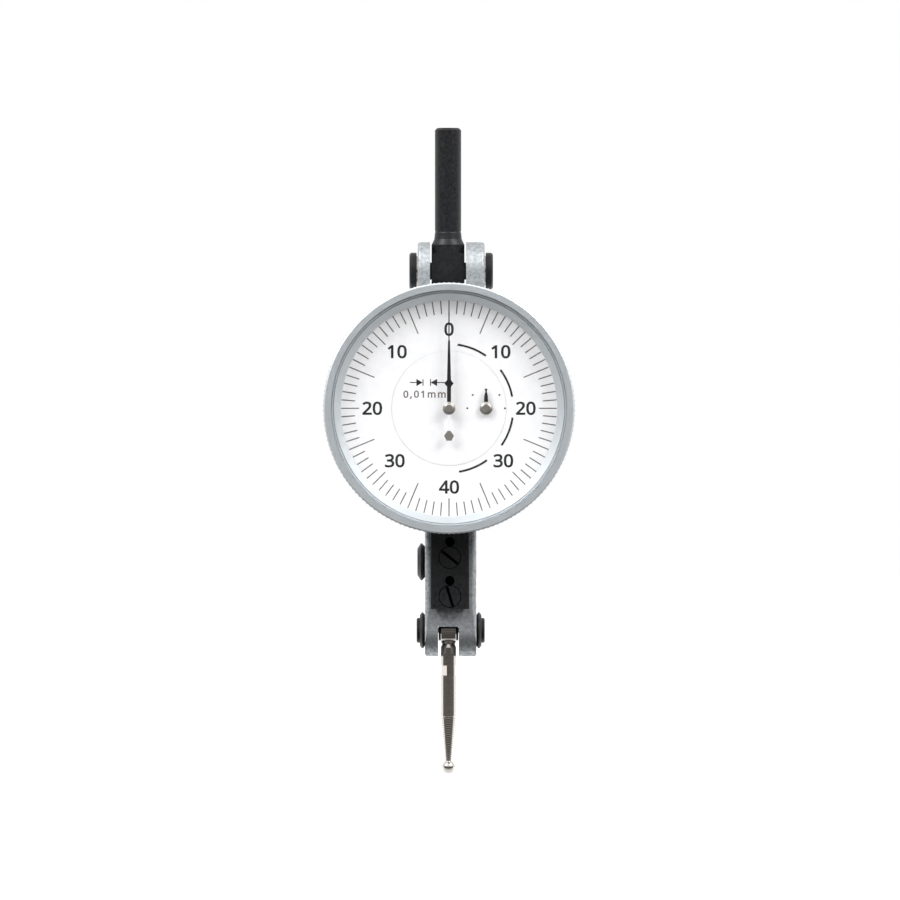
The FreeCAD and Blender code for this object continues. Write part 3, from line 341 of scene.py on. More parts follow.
def hardened_steel(colour, roughness):
    material = turned_steel("hardened_turned_steel", colour, roughness, POINT_FEED)
    tree = material.node_tree
    place = add(tree, "TexCoord", take="Object")
    height = add(tree, "SeparateXYZ", {"Vector": place}, take="Z")
    low = add(tree, "Math", {"Value": height, "Value_001": shank_low.z + RINGED_HEIGHT * MM},
              operation="LESS_THAN")
    turns = add(tree, "Math", {"Value": height, "Value_001": 2 * math.pi / (RING_PITCH * MM)},
                operation="MULTIPLY")
    wave = add(tree, "Math", {"Value": turns}, operation="SINE")
    rings = add(tree, "Math", {"Value": wave, "Value_001": low}, operation="MULTIPLY")
    normal = tree.nodes["Principled BSDF"].inputs["Normal"]
    add(tree, "Bump", {"Height": rings, "Distance": RING_DEPTH * MM}, to=normal)
    return material


POINT = hardened_steel("#d6cfc8", 0.13)
print("contact point: about", round(RINGED_HEIGHT / RING_PITCH), "rings on the taper")

# %% [markdown]
# ## The ball
#
# The ball at the tip is lapped to a mirror, so it needs no pattern, only a very low roughness. What it shows
# is the studio round it.

# %% The ball
BALL = new_material("lapped_steel_ball", "#d8d4ce", 1.0, 0.06)[0]
print("ball:", BALL.name)

# %% [markdown]
# ## The dial's coat
#
# The dial is thin aluminium with a matt white coat, which scatters light evenly and hides the metal. Sprayed
# coats vary by a shade, so two whites lie close together in wide clouds.

# %% The white coat
COAT_CLOUD = 1.2                # mm across a cloud of the coat


def matt_dial_coat():
    material, tree, shader = new_material("matt_dial_coat", "#f1f1f2", 0.0, 0.62)
    cloud = mottle(tree, COAT_CLOUD, detail=3)
    paleness = add(tree, "MapRange", {"Value": cloud, **NOISE_RANGE, "To Min": 0.0, "To Max": 1.0})
    add(tree, "Mix", {"Factor_Float": paleness, "A_Color": linear("#efeff1"), "B_Color": linear("#f4f4f5")},
        take=MIXED_COLOUR, to=shader.inputs["Base Color"], data_type="RGBA")
    return material


DIAL_WHITE = matt_dial_coat()
print("dial coat: clouds of", COAT_CLOUD, "mm")

# %% [markdown]
# ## Printing ink
#
# The dial is pad printed with soft black ink. Its figures are dense, and the thin scale lines take less ink
# and look grey. One function makes both, from two colours.

# %% The ink
INK_CLOUD = 0.3                 # mm across a patch of thicker ink


def printing_ink(name, colour):
    material, tree, shader = new_material(name, colour, 0.0, 0.5)
    cloud = mottle(tree, INK_CLOUD, detail=2)
    add(tree, "MapRange", {"Value": cloud, **NOISE_RANGE, "To Min": 0.45, "To Max": 0.6},
        to=shader.inputs["Roughness"])
    return material


INK = printing_ink("dense_black_ink", "#101012")
THIN_INK = printing_ink("thin_grey_ink", "#6a625d")
print("inks:", INK.name, THIN_INK.name)

# %% [markdown]
# ## Acrylic window
#
# The window is clear cast acrylic with an IOR of 1.49. Traced as glass alone it would leave the dial in a
# grey shadow, because light that bends is lost on the way down. So light that only passes through to the
# dial, or comes back from it, goes straight on and loses a few parts in a hundred.

# %% The window
ACRYLIC_IOR = 1.49
PASSED_SHARE = 0.97


def clear_acrylic():
    material, tree, shader = new_material("clear_acrylic", "#ffffff", 0.0, 0.02, IOR=ACRYLIC_IOR,
                                          Transmission_Weight=1.0)
    shadow = add(tree, "LightPath", take="Is Shadow Ray")
    diffuse = add(tree, "LightPath", take="Is Diffuse Ray")
    passing = add(tree, "Math", {"Value": shadow, "Value_001": diffuse}, operation="MAXIMUM")
    clear = add(tree, "BsdfTransparent", {"Color": (PASSED_SHARE, PASSED_SHARE, PASSED_SHARE, 1.0)})
    add(tree, "MixShader", {"Fac": passing, "Shader": shader.outputs["BSDF"], "Shader_001": clear},
        to=tree.nodes["Material Output"].inputs["Surface"])
    return material


ACRYLIC = clear_acrylic()
print("window: IOR", ACRYLIC_IOR)

# %% [markdown]
# ## Brass wheels
#
# The wheels, the sector and the posts are turned and cut from bright brass. Gloss that varies in fine streaks
# keeps the yellow from looking like plastic.

# %% The brass
BRASS_STREAK = 0.15             # mm across a streak of the tool
BRASS_STRETCH = (1, 0.2, 1)


def turned_brass():
    material, tree, shader = new_material("turned_brass", "#d9b566", 1.0, 0.3)
    fine = mottle(tree, BRASS_STREAK, detail=2, stretch=BRASS_STRETCH)
    add(tree, "MapRange", {"Value": fine, **NOISE_RANGE, "To Min": 0.24, "To Max": 0.38},
        to=shader.inputs["Roughness"])
    return material


BRASS = turned_brass()
print("brass: streaks of", BRASS_STREAK, "mm")

# %% [markdown]
# ## Ruby bearings
#
# The bearings are small synthetic rubies with an IOR of 1.76. They are too small to look through, so a glossy
# surface in two reds does for them, and no light has to be traced inside.

# %% The rubies
RUBY_IOR = 1.76
RUBY_CLOUD = 0.5                # mm across a darker patch


def synthetic_ruby():
    material, tree, shader = new_material("synthetic_ruby", "#a3122e", 0.0, 0.08, IOR=RUBY_IOR)
    cloud = mottle(tree, RUBY_CLOUD)
    add(tree, "Mix", {"Factor_Float": cloud, "A_Color": linear("#8c0f28"), "B_Color": linear("#b81a38")},
        take=MIXED_COLOUR, to=shader.inputs["Base Color"], data_type="RGBA")
    return material


RUBY = synthetic_ruby()
print("ruby: IOR", RUBY_IOR)

# %% [markdown]
# ## Gasket rubber
#
# A grey moulded rubber ring seals the window in the bezel. Rubber is matt and slightly uneven, so it gets a
# high roughness and a shallow dent.

# %% The rubber
RUBBER_CLOUD = 0.2              # mm across a dent
RUBBER_DENT = 0.01


def grey_rubber():
    material, tree, shader = new_material("grey_gasket_rubber", "#8f969b", 0.0, 0.6)
    cloud = mottle(tree, RUBBER_CLOUD)
    add(tree, "Bump", {"Height": cloud, "Distance": RUBBER_DENT * MM}, to=shader.inputs["Normal"])
    return material


RUBBER = grey_rubber()
print("rubber: dents of", RUBBER_CLOUD, "mm")

# %% [markdown]
# ## Hairspring strip and turned hubs
#
# The hairspring is rolled from a nickel-iron alloy, pale and fairly glossy. The hubs of the hands are turned
# from nickel silver, which is warmer and duller. Both are plain metals whose gloss varies in small clouds, so
# one function serves them.

# %% The spring and the hubs
SPRING_CLOUD = 0.2              # mm
HUB_CLOUD = 0.1                 # mm


def clouded_metal(name, colour, roughness, size, detail, gloss):
    material, tree, shader = new_material(name, colour, 1.0, roughness)
    cloud = mottle(tree, size, detail=detail)
    add(tree, "MapRange", {"Value": cloud, **NOISE_RANGE, "To Min": gloss[0], "To Max": gloss[1]},
        to=shader.inputs["Roughness"])
    return material


SPRING = clouded_metal("spring_alloy_strip", "#9aa0ab", 0.28, SPRING_CLOUD, 3, (0.22, 0.34))
SILVER = clouded_metal("turned_nickel_silver", "#9a9691", 0.45, HUB_CLOUD, 2, (0.4, 0.52))
print("clouded metals:", SPRING.name, SILVER.name)

# %% [markdown]
# ## Hands
#
# The hands are pressed from thin sheet and lacquered black. The main hand has a tail behind its hub: a thin
# bare neck, painted white as a reflection so that it all but vanishes on the dial, and a bare grey end that
# balances the needle. The height on the dial tells these parts apart, which holds because the colour belongs
# to the piece and turns with it.

# %% The hands
LACQUER_BLACK = "#111112"
NECK_BELOW = 0.9                # mm under the hub's middle, where the black ends and the neck's painted white reflection starts
TAIL_BELOW = 3.4                # and where the neck ends and the grey tail starts


def lacquered_hand():
    material, tree, shader = new_material("lacquered_hand", LACQUER_BLACK, 0.0, 0.4)
    place = add(tree, "TexCoord", take="Object")
    height = add(tree, "SeparateXYZ", {"Vector": place}, take="Z")
    behind = add(tree, "Math", {"Value": height, "Value_001": DIAL_Z - NECK_BELOW * MM},
                 operation="LESS_THAN")
    # Above the grey tail the neck is painted white: a painted reflection of the bright room on its bare
    # metal.
    neck = add(tree, "Math", {"Value": height, "Value_001": DIAL_Z - TAIL_BELOW * MM},
               operation="GREATER_THAN")
    tail_and_neck_reflection = add(tree, "Mix", {"Factor_Float": neck, "A_Color": linear("#75716d"),
                             "B_Color": linear("#ececed")}, take=MIXED_COLOUR, data_type="RGBA")
    add(tree, "Mix", {"Factor_Float": behind, "A_Color": linear(LACQUER_BLACK), "B_Color": tail_and_neck_reflection},
        take=MIXED_COLOUR, to=shader.inputs["Base Color"], data_type="RGBA")
    return material


HAND = lacquered_hand()
print("hands: neck from", NECK_BELOW, "to", TAIL_BELOW, "mm under the hub")

# %% [markdown]
# ## Finishes on the solids
#
# Each solid has one finish. Picking them one by one would take a line for each, so a table gives the nodes by
# finish, and a loop dresses them.

# %% Dress the CAD solids
FINISHES = {
    CASTING: ["housing"],
    CHROME: ["back_cover", "movement_plate", "pointer_bridge"],
    BEZEL_CHROME: ["bezel_ring"],
    BLACK: ["dovetail_plate", "dovetail_screws", "stem", "contact_lever"],
    BLACK_EDGE_LIT: ["sector_cap", "nose_pivot_screw_left", "nose_pivot_screw_right", "stem_pivot_screw_left",
                 "stem_pivot_screw_right"],
    BRIGHT: ["back_cover_screws", "movement_plate_screws", "stem_washers", "bezel_retaining_wire",
             "hairspring_stud", "pointer_arbor", "pointer_pinion", "counter_pinion", "counter_arbor",
             "crown_arbor", "crown_pinion", "sector_arbor", "drive_pin", "lever_axle"],
    POINT: ["stylus_holder", "contact_shank"],
    BALL: ["contact_ball"],
    DIAL_WHITE: ["dial_ring", "centre_dial"],
    ACRYLIC: ["crystal"],
    BRASS: ["sector_bushes", "dial_posts", "hairspring_collet", "counter_wheel", "crown_wheel",
            "sector_gear"],
    RUBY: ["hand_arbor_jewels", "crown_jewels"],
    RUBBER: ["crystal_gasket"],
    SPRING: ["hairspring"],
    SILVER: ["main_hand_hub", "counter_hand_hub"],
    HAND: ["main_hand", "counter_hand"],
}
for finish, nodes in FINISHES.items():
    for node in nodes:
        mesh = bpy.data.objects[node].data
        mesh.materials.clear()
        mesh.materials.append(finish)
print("dressed", sum(len(nodes) for nodes in FINISHES.values()), "solids with", len(FINISHES), "finishes")

# %% [markdown]
# ## New pieces
#
# What the frame lacks is modelled as a bmesh, because its operators make clean shapes from a few numbers.
# The mesh holds the place, so the object stays at the origin, unturned, and rides on one of the frame's
# bodies. That way it follows its joint and its Object coordinates stay true.


# %% From bmesh to piece
def make_piece(name, bm, body, material):
    """The bmesh as an object at the origin that rides on a body and takes its slot's material."""
    bmesh.ops.recalc_face_normals(bm, faces=bm.faces)
    mesh = bpy.data.meshes.new(name)
    bm.to_mesh(mesh)
    bm.free()
    mesh.materials.append(material)
    piece = bpy.data.objects.new(name, mesh)
    bpy.context.collection.objects.link(piece)
    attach(piece, body)
    print(name, "has", len(mesh.polygons), "faces and rides on", body)


# %% [markdown]
# ## Printing on the dial
#
# Ink is a few hundredths of a millimetre thick. A picture on the dial would blur when seen close and a bare
# plane would flicker against the face, so each print is a thin solid that starts just under the face and ends
# just above it. Prints are drawn flat in millimetres round the dial's centre, and then laid on the face. The
# scale is printed on the ring that turns with the bezel, and the words and dots on the fixed centre dial.

# %% Thin prints
INK_HEIGHT = 0.02
INK_SINK = 0.01                 # mm of the ink's height that lie under the face
INK_MIDDLE = INK_SINK - INK_HEIGHT / 2


def lay_on_dial(bm):
    """Takes a flat print drawn in x and z about the dial's centre, in mm, and lays it on the face."""
    place = Matrix.Translation((DIAL_X, FACE_Y, DIAL_Z)) @ Matrix.Scale(MM, 4)
    bmesh.ops.transform(bm, matrix=place, verts=bm.verts)


def bar_print(bm, x0, x1, z0, z1, turn=0.0):
    """A printed bar between two corners in mm, then turned clockwise about the dial's centre."""
    size = Matrix.Diagonal((x1 - x0, INK_HEIGHT, z1 - z0, 1))
    middle = Matrix.Translation(((x0 + x1) / 2, INK_MIDDLE, (z0 + z1) / 2))
    around = Matrix.Rotation(math.radians(turn), 4, "Y")
    bmesh.ops.create_cube(bm, size=1, matrix=around @ middle @ size)


print("ink stands", INK_HEIGHT - INK_SINK, "mm above the face")

# %% [markdown]
# ## Scale lines
#
# The scale has 80 lines. Those at each tenth are longer, and those half way between two tenths are the
# longest. All end at the same outer circle. An array modifier could turn one line round the dial, but a loop
# lets the length change from line to line.

# %% Make the scale lines
SCALE_LINES = 80
SCALE_OUTER = 16.3              # mm from the dial's centre, as are the three inner ends
SCALE_SHORT = 14.25
SCALE_TENTH = 13.6
SCALE_FIFTH = 12.2
SCALE_STROKE = 0.17

scale = bmesh.new()
for i in range(SCALE_LINES):
    inner = SCALE_TENTH if i % 10 == 0 else SCALE_FIFTH if i % 5 == 0 else SCALE_SHORT
    bar_print(scale, -SCALE_STROKE / 2, SCALE_STROKE / 2, inner, SCALE_OUTER, i * 360 / SCALE_LINES)
lay_on_dial(scale)
make_piece("scale_lines", scale, "bezel", THIN_INK)

# %% [markdown]
# ## Figures and letters
#
# Figures could be drawn stroke by stroke, but a text object makes them from a font that comes with Blender.
# Its bevel thickens the strokes to the weight of the print. It becomes a mesh before it goes to its place,
# because a text object's own placing would be lost on export. The bevel also makes it too thick, so it is
# pressed flat to the ink's height.

# %% Text as a thin mesh
FONT_FILE = "NotoSansHebrew-Regular.woff2"
FONT_FOLDER = bpy.utils.system_resource("DATAFILES", path="fonts")
SANS = bpy.data.fonts.load(os.path.join(FONT_FOLDER, FONT_FILE))
CAP_HEIGHT_SHARE = 0.714        # height of a capital over the font's size
STROKE_WEIGHT = 0.022           # added round each stroke, over the font's size
CURVE_STEPS = 4                 # points along each curve of a letter
DOUBLES_SHARE = 0.0002          # points closer than this share of the height are one


def text_mesh(words, height, width, spacing=1.0):
    """Words as a bmesh in mm, standing in x and z, centred on the origin, with the ink's thickness."""
    curve = bpy.data.curves.new("print", "FONT")
    curve.body = words
    curve.font = SANS
    curve.size = height / CAP_HEIGHT_SHARE
    curve.space_character = spacing
    curve.extrude = INK_HEIGHT / 2
    curve.bevel_depth = STROKE_WEIGHT * curve.size
    curve.bevel_resolution = 0
    curve.resolution_u = CURVE_STEPS
    maker = bpy.data.objects.new("print", curve)
    bpy.context.collection.objects.link(maker)
    bm = bmesh.new()
    bm.from_mesh(maker.evaluated_get(bpy.context.evaluated_depsgraph_get()).to_mesh())
    bpy.data.objects.remove(maker)
    bpy.data.curves.remove(curve)
    bmesh.ops.remove_doubles(bm, verts=bm.verts, dist=height * DOUBLES_SHARE)
    xs, ys = [v.co.x for v in bm.verts], [v.co.y for v in bm.verts]
    centre = Vector(((min(xs) + max(xs)) / 2, (min(ys) + max(ys)) / 2, 0))
    flatness = INK_HEIGHT / 2 / max(v.co.z for v in bm.verts)
    bmesh.ops.translate(bm, vec=-centre, verts=bm.verts)
    bmesh.ops.scale(bm, vec=(width, 1, flatness), verts=bm.verts)
    bmesh.ops.rotate(bm, cent=(0, 0, 0), matrix=Matrix.Rotation(math.pi / 2, 3, "X"), verts=bm.verts)
    bmesh.ops.translate(bm, vec=(0, INK_MIDDLE, 0), verts=bm.verts)
    return bm


print("font:", SANS.name)

# %% [markdown]
# ## Numbers
#
# The numbers stand upright all round the dial and count up both ways from the top, because the lever can be
# pushed to either side. Each is a piece of its own, so that it is easy to find by name.

# %% Make the numbers
FIGURE_HEIGHT = 2.3
FIGURE_WIDTH = 1.05             # over the width that the font gives
NUMBERS = [("0", 11.95, 0), ("10", 11.6, 42.5), ("10", 11.6, -42.5), ("20", 11.6, 90), ("20", 11.6, -90),
           ("30", 11.4, 134), ("30", 11.4, -134), ("40", 11.9, 180)]   # words, mm out, degrees clockwise

for words, radius, degrees in NUMBERS:
    number = text_mesh(words, FIGURE_HEIGHT, FIGURE_WIDTH)
    a = math.radians(degrees)
    bmesh.ops.translate(number, vec=(radius * math.sin(a), 0, radius * math.cos(a)), verts=number.verts)
    lay_on_dial(number)
    side = "right" if degrees > 0 else "left"
    make_piece(f"number_{words}_{side}", number, "bezel", INK)

# %% [markdown]
# ## Arcs
#
# Four arcs inside the numbers show which way the main hand runs. A curve with a bevel would make round wires.
# A short line spun about the dial's centre gives flat strokes with square ends, and solidify gives them the
# ink's thickness.

# %% Make the arcs
ARC_RADIUS = 9.7
ARC_STROKE = 0.3
ARCS = [(7.7, 35.2), (53.2, 79.5), (98.3, 125.2), (143.8, 171.0)]   # degrees clockwise from the top
ARC_STEP = 1.5                  # degrees for each facet

arcs = bmesh.new()
for start, end in ARCS:
    edges = (ARC_RADIUS - ARC_STROKE / 2, ARC_RADIUS + ARC_STROKE / 2)
    ends = [arcs.verts.new((0, INK_SINK - INK_HEIGHT, radius)) for radius in edges]
    line = arcs.edges.new(ends)
    bmesh.ops.rotate(arcs, cent=(0, 0, 0), matrix=Matrix.Rotation(math.radians(start), 3, "Y"), verts=ends)
    bmesh.ops.spin(arcs, geom=[*ends, line], cent=(0, 0, 0), axis=(0, 1, 0), dvec=(0, 0, 0),
                   angle=math.radians(end - start), steps=round((end - start) / ARC_STEP),
                   use_duplicate=False)
bmesh.ops.solidify(arcs, geom=arcs.faces[:], thickness=INK_HEIGHT)
lay_on_dial(arcs)
make_piece("turn_arcs", arcs, "bezel", INK)

# %% [markdown]
# ## The reading per line
#
# The fixed centre dial says in small wide letters what one line of the scale stands for, 0,01mm. It uses the
# thin ink, as small print does.

# %% Print the reading per line
WORD_HEIGHT = 1.24
WORD_WIDTH = 1.03               # over the width that the font gives
WORD_SPACING = 1.22
WORD_LEFT = -6.9                # mm from the dial's centre
WORD_BASE = 1.43

word = text_mesh("0,01mm", WORD_HEIGHT, WORD_WIDTH, WORD_SPACING)
half_width = max(v.co.x for v in word.verts)
print("words:", round(2 * half_width, 2), "mm wide")
bmesh.ops.translate(word, vec=(WORD_LEFT + half_width, 0, WORD_BASE + WORD_HEIGHT / 2), verts=word.verts)
lay_on_dial(word)
make_piece("reading_per_line", word, "housing", THIN_INK)

# %% [markdown]
# ## Arrows
#
# Above the words two arrows point at each other, each with its stop line: one line of the scale is the way
# between the stops. The shaft and the stop are bars, and the head is a cone with three sides and equal ends,
# which is a flat triangle.

# %% Print the arrows
ARROW_Z = 3.9
ARROW_BAR = 0.14
ARROW_HEAD = 0.95
ARROW_STOP = 1.0
ARROWS = [(-5.9, -3.98, -3.93), (-0.5, -2.75, -2.8)]    # tail, tip and stop along x


def arrow_print(bm, tail, tip, stop):
    """A printed arrow along x from tail to tip, with an upright stop line at x = stop."""
    way = 1 if tip > tail else -1
    neck = tip - way * ARROW_HEAD
    thin, tall = ARROW_BAR / 2, ARROW_STOP / 2
    bar_print(bm, min(tail, neck), max(tail, neck), ARROW_Z - thin, ARROW_Z + thin)
    bar_print(bm, stop - thin, stop + thin, ARROW_Z - tall, ARROW_Z + tall)
    middle = Matrix.Translation((neck + way * ARROW_HEAD / 3, INK_MIDDLE, ARROW_Z))
    turn = Matrix.Rotation(math.radians(90 * way), 4, "Y") @ Matrix.Rotation(math.radians(90), 4, "X")
    bmesh.ops.create_cone(bm, segments=3, radius1=ARROW_HEAD * 2 / 3, radius2=ARROW_HEAD * 2 / 3,
                          depth=INK_HEIGHT, cap_ends=True, matrix=middle @ turn)


arrows = bmesh.new()
for tail, tip, stop in ARROWS:
    arrow_print(arrows, tail, tip, stop)
lay_on_dial(arrows)
make_piece("range_arrows", arrows, "housing", INK)

# %% [markdown]
# ## Dots of the counter
#
# Dots round the small hand count the turns of the main hand. They are short cylinders on their side, as a
# round stamp would leave.

# %% Print the dots
COUNTER_X = 5.6                 # mm from the dial's centre to the small hand's
DOT_RADIUS = 0.15
DOT_RING = 2.85
DOT_ANGLES = (-90, -45, 0, 45, 90)
DOT_STEPS = 16

dots = bmesh.new()
for degrees in DOT_ANGLES:
    a = math.radians(degrees)
    centre = Matrix.Translation((COUNTER_X + DOT_RING * math.sin(a), INK_MIDDLE, DOT_RING * math.cos(a)))
    bmesh.ops.create_cone(dots, segments=DOT_STEPS, radius1=DOT_RADIUS, radius2=DOT_RADIUS, depth=INK_HEIGHT,
                          cap_ends=True, matrix=centre @ Matrix.Rotation(math.pi / 2, 4, "X"))
lay_on_dial(dots)
make_piece("counter_dots", dots, "housing", INK)

# %% [markdown]
# ## Dark gaps in the dovetail
#
# The screws of the dovetail sit flush, so only the thin gap round each head and its slot show, black with
# shade.
# The solids have these gaps, but a studio's even light brightens them. A flat ring and a bar just under the
# heads' faces paint that shade in a black without any gloss, and a disc in each tapped hole paints the shade
# that its thread would hold.

# %% Painted shade in gaps, slots and holes
SCREW_RADIUS = 1.57
SCREW_GAP = 0.19
SLOT_WIDTH = 0.48
SLOT_TURNS = (73, 39)           # degrees from level, lower screw first
SCREW_SHARES = (0.152, 0.624)   # heights on the plate over its length, as the two holes' are
HOLE_SHARES = (0.344, 0.816)
HOLE_RADIUS = 0.72
GAP_SHADE_DEPTH = 0.08                # mm under the plate's face
HOLE_DEPTH = 1.0                # mm further down
RING_STEPS = 48
HOLE_STEPS = 24
plate_low, plate_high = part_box("dovetail_plate")
# A flat black without gloss: painted shade in the gaps round the heads, in the slots and in the tapped holes.
GAP_SHADE_BLACK = new_material("painted_gap_shade", "#020202", 0.0, 0.9, Specular_IOR_Level=0.0)[0]


def on_plate(share, depth):
    """A place on the middle of the plate, at a share of its height and a depth in mm under its face."""
    height = plate_low.z + share * (plate_high.z - plate_low.z)
    return Vector(((plate_low.x + plate_high.x) / 2, plate_low.y + depth * MM, height))


gap_shade = bmesh.new()
for share, turn in zip(SCREW_SHARES, SLOT_TURNS):
    centre = on_plate(share, GAP_SHADE_DEPTH)
    size = Matrix.Diagonal((2 * SCREW_RADIUS - SCREW_GAP, INK_HEIGHT, SLOT_WIDTH, 1)) @ Matrix.Scale(MM, 4)
    along = Matrix.Rotation(math.radians(turn), 4, "Y")
    bmesh.ops.create_cube(gap_shade, size=1, matrix=Matrix.Translation(centre) @ along @ size)
    radii = (SCREW_RADIUS, SCREW_RADIUS + SCREW_GAP)
    ends = [gap_shade.verts.new(centre + Vector((0, 0, radius * MM))) for radius in radii]
    bmesh.ops.spin(gap_shade, geom=[*ends, gap_shade.edges.new(ends)], cent=centre, axis=(0, 1, 0), dvec=(0, 0, 0),
                   angle=2 * math.pi, steps=RING_STEPS, use_merge=True, use_duplicate=False)
for share in HOLE_SHARES:
    place = Matrix.Translation(on_plate(share, GAP_SHADE_DEPTH + HOLE_DEPTH)) @ Matrix.Rotation(math.pi / 2, 4, "X")
    bmesh.ops.create_circle(gap_shade, cap_ends=True, segments=HOLE_STEPS, radius=HOLE_RADIUS * MM, matrix=place)
make_piece("oil_in_gaps", gap_shade, "housing", GAP_SHADE_BLACK)

# %% [markdown]
# ## The seam between the two dials
#
# The turning ring and the fixed centre dial meet in a hair-thin gap. White paint on both edges fills it with
# light, so it is seen as a faint line only. Left open, the gap would be black. A flat white ring a little
# under the face gives it its floor.

# %% The seam
SEAM_RADIUS = 8.6
SEAM_HALF = 0.07                # half the ring's width
SEAM_DEPTH = 0.03
SEAM_STEPS = 120

seam = bmesh.new()
ends = [seam.verts.new((0, SEAM_DEPTH, SEAM_RADIUS + side * SEAM_HALF)) for side in (-1, 1)]
bmesh.ops.spin(seam, geom=[*ends, seam.edges.new(ends)], cent=(0, 0, 0), axis=(0, 1, 0), dvec=(0, 0, 0),
               angle=2 * math.pi, steps=SEAM_STEPS, use_merge=True, use_duplicate=False)
lay_on_dial(seam)
make_piece("dial_seam", seam, "housing", DIAL_WHITE)

# %% [markdown]
# ## Studio floor
#
# A sheet of white paper lies just under the ball. More light would turn it white but would bleach the gauge
# too, so it glows by itself, and only for rays that come from the camera, a polished surface or through
# glass. Below the glow it stays a plain grey that takes the gauge's shadow. In polished metal alone its front
# half is painted dark, as the front of most product studios is: this painted reflection gives the metal its
# dark core between bright edges.

# %% Floor
FLOOR_DROP = 0.6                # mm under the ball
FLOOR_HALF = 3000               # mm from its middle to each side
PAPER_GREY = "#a4a4a4"
PAINTED_REFLECTION_DARK = "#2c2b2a"
FRONT_FADE = 6.0                # mm in front of the stem's axis, where the painted dark reflection is full
PAPER_GLOW = 0.75


def paper_floor():
    material, tree, shader = new_material("white_paper_floor", PAPER_GREY, 0.0, 0.9)
    camera_ray = add(tree, "LightPath", take="Is Camera Ray")
    glossy_ray = add(tree, "LightPath", take="Is Glossy Ray")
    glass_ray = add(tree, "LightPath", take="Is Transmission Ray")
    place = add(tree, "TexCoord", take="Object")
    depth = add(tree, "SeparateXYZ", {"Vector": place}, take="Y")
    front = add(tree, "MapRange", {"Value": depth, "From Min": 0.0, "From Max": -FRONT_FADE * MM,
                                   "To Min": 0.0, "To Max": 1.0})
    # Dark only in polished metal and towards the front: a painted reflection.
    painted_dark_reflection = add(tree, "Math", {"Value": front, "Value_001": glossy_ray}, operation="MULTIPLY")
    add(tree, "Mix", {"Factor_Float": painted_dark_reflection, "A_Color": linear(PAPER_GREY), "B_Color": linear(PAINTED_REFLECTION_DARK)},
        take=MIXED_COLOUR, to=shader.inputs["Base Color"], data_type="RGBA")
    mirrored = add(tree, "Math", {"Value": camera_ray, "Value_001": glossy_ray}, operation="MAXIMUM")
    seen = add(tree, "Math", {"Value": mirrored, "Value_001": glass_ray}, operation="MAXIMUM")
    lit = add(tree, "Math", {"Value": seen, "Value_001": painted_dark_reflection}, operation="SUBTRACT", use_clamp=True)
    add(tree, "Math", {"Value": lit, "Value_001": PAPER_GLOW}, to=shader.inputs["Emission Strength"],
        operation="MULTIPLY")
    shader.inputs["Emission Color"].default_value = (1, 1, 1, 1)
    return material


sheet = bmesh.new()
floor_z = cad_box[0].z - FLOOR_DROP * MM
bmesh.ops.create_grid(sheet, x_segments=1, y_segments=1, size=FLOOR_HALF * MM,
                      matrix=Matrix.Translation((0, 0, floor_z)))
mesh = bpy.data.meshes.new("studio_floor")
sheet.to_mesh(mesh)
sheet.free()
mesh.materials.append(paper_floor())
floor = bpy.data.objects.new("studio_floor", mesh)
bpy.context.collection.objects.link(floor)
print("floor", round(floor_z / MM, 1), "mm below the origin")

# %% [markdown]
# ## World
#
# The camera sees white all round. What lights the gauge depends on the way a ray goes: white from behind and
# from above, and dim from low in front, for the sake of the polished steel. An image of a studio could do
# the same, but two ramps on the ray's direction need no file.

# %% World
FRONT_END = -0.35               # depth of a ray's direction, where the dim front ends
BACK_START = 0.15               # and where white is full
LOW_END = 0.1                   # the same for its height
HIGH_START = 0.35
LOW_LIGHT = 0.05

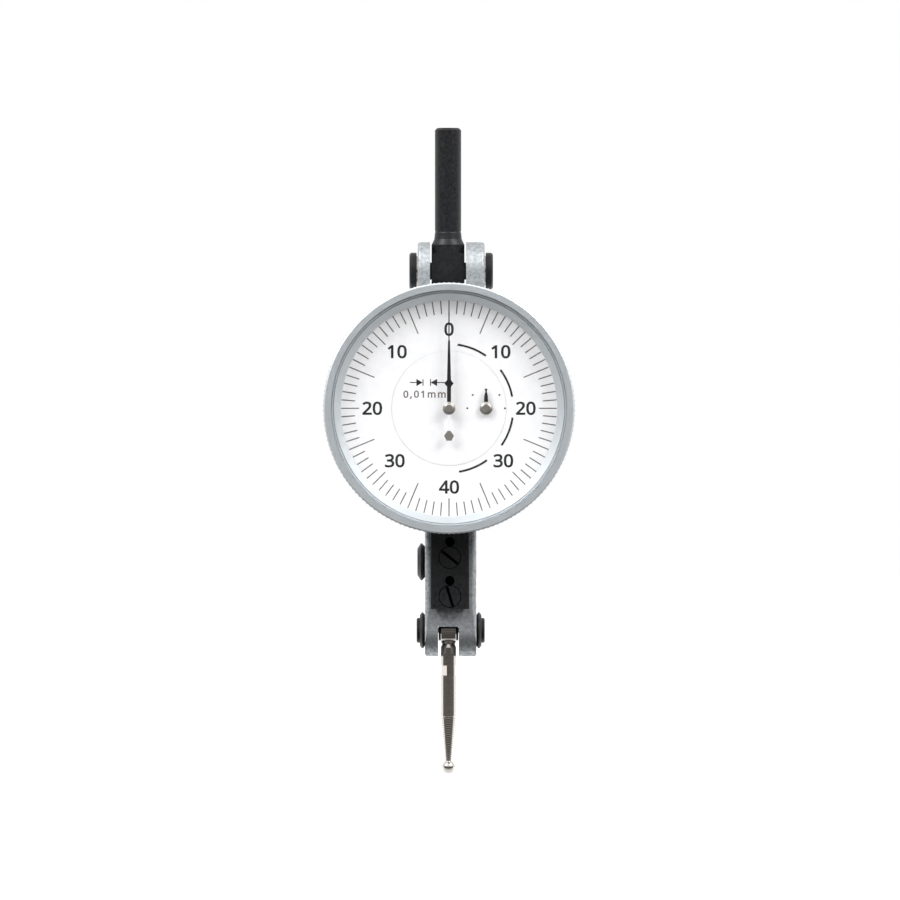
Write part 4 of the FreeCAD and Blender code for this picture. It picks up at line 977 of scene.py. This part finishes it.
world = bpy.data.worlds.new("studio")
bpy.context.scene.world = world
world.use_nodes = True
sky = world.node_tree
background = sky.nodes["Background"]
background.inputs["Color"].default_value = (1, 1, 1, 1)
way = add(sky, "TexCoord", take="Generated")
depth = add(sky, "SeparateXYZ", {"Vector": way}, take="Y")
height = add(sky, "SeparateXYZ", {"Vector": way}, take="Z")
behind = add(sky, "MapRange", {"Value": depth, "From Min": FRONT_END, "From Max": BACK_START,
                               "To Min": 0.0, "To Max": 1.0})
above = add(sky, "MapRange", {"Value": height, "From Min": LOW_END, "From Max": HIGH_START,
                              "To Min": LOW_LIGHT, "To Max": 1.0})
room = add(sky, "Math", {"Value": behind, "Value_001": above}, operation="MAXIMUM")
camera_ray = add(sky, "LightPath", take="Is Camera Ray")
add(sky, "Math", {"Value": room, "Value_001": camera_ray}, to=background.inputs["Strength"],
    operation="MAXIMUM")
print("world: white to the camera,", LOW_LIGHT, "low in front")

# %% [markdown]
# ## Lamps
#
# Two large soft lamps hang high in front, to the left and right, as over a product table. Their size keeps
# the shadows soft, and two of nearly the same power keep the dial even. They aim at the dial's centre.

# %% Lamps
LAMP_SIZE = 0.5                 # m
LAMPS = {"lamp_left": ((-0.7, -0.55, 0.75), 10.0), "lamp_right": ((0.75, -0.55, 0.7), 9.4)}  # m and W
AIM = Vector((DIAL_X, FACE_Y, DIAL_Z))
for name, (place, power) in LAMPS.items():
    light = bpy.data.lights.new(name, "AREA")
    light.shape = "SQUARE"
    light.size = LAMP_SIZE
    light.energy = power
    lamp = bpy.data.objects.new(name, light)
    bpy.context.collection.objects.link(lamp)
    lamp.location = place
    lamp.rotation_mode = "QUATERNION"
    lamp.rotation_quaternion = (AIM - Vector(place)).to_track_quat("-Z", "Y")
bpy.context.scene.view_settings.view_transform = "Standard"
print("lamps:", ", ".join(LAMPS))

# %% [markdown]
# ## Camera
#
# A long lens from far away keeps the round dial round and the bar's sides upright, almost as a drawing does.
# The distance follows from the width that the frame should show. The camera looks straight along Y, so it is
# moved and not shifted.

# %% Camera
FRAME_WIDTH = 136.4             # mm across the picture, at the dial's depth
LENS = 500
SENSOR = 36
AIM_X = 0.15                    # mm to the right of the dial's centre
AIM_BELOW = 6.3                 # mm under the dial's centre
DIAL_DEPTH = -6.0               # mm along Y, where the frame has its width
CLIP_END = 100                  # m

camera_data = bpy.data.cameras.new("camera")
camera_data.lens = LENS
camera_data.sensor_width = SENSOR
camera_data.clip_end = CLIP_END
camera = bpy.data.objects.new("camera", camera_data)
bpy.context.collection.objects.link(camera)
distance = FRAME_WIDTH * LENS / SENSOR
camera.location = (DIAL_X + AIM_X * MM, (DIAL_DEPTH - distance) * MM, DIAL_Z - AIM_BELOW * MM)
camera.rotation_euler = (math.pi / 2, 0, 0)
bpy.context.scene.camera = camera
print("camera stands", round(distance), "mm in front")
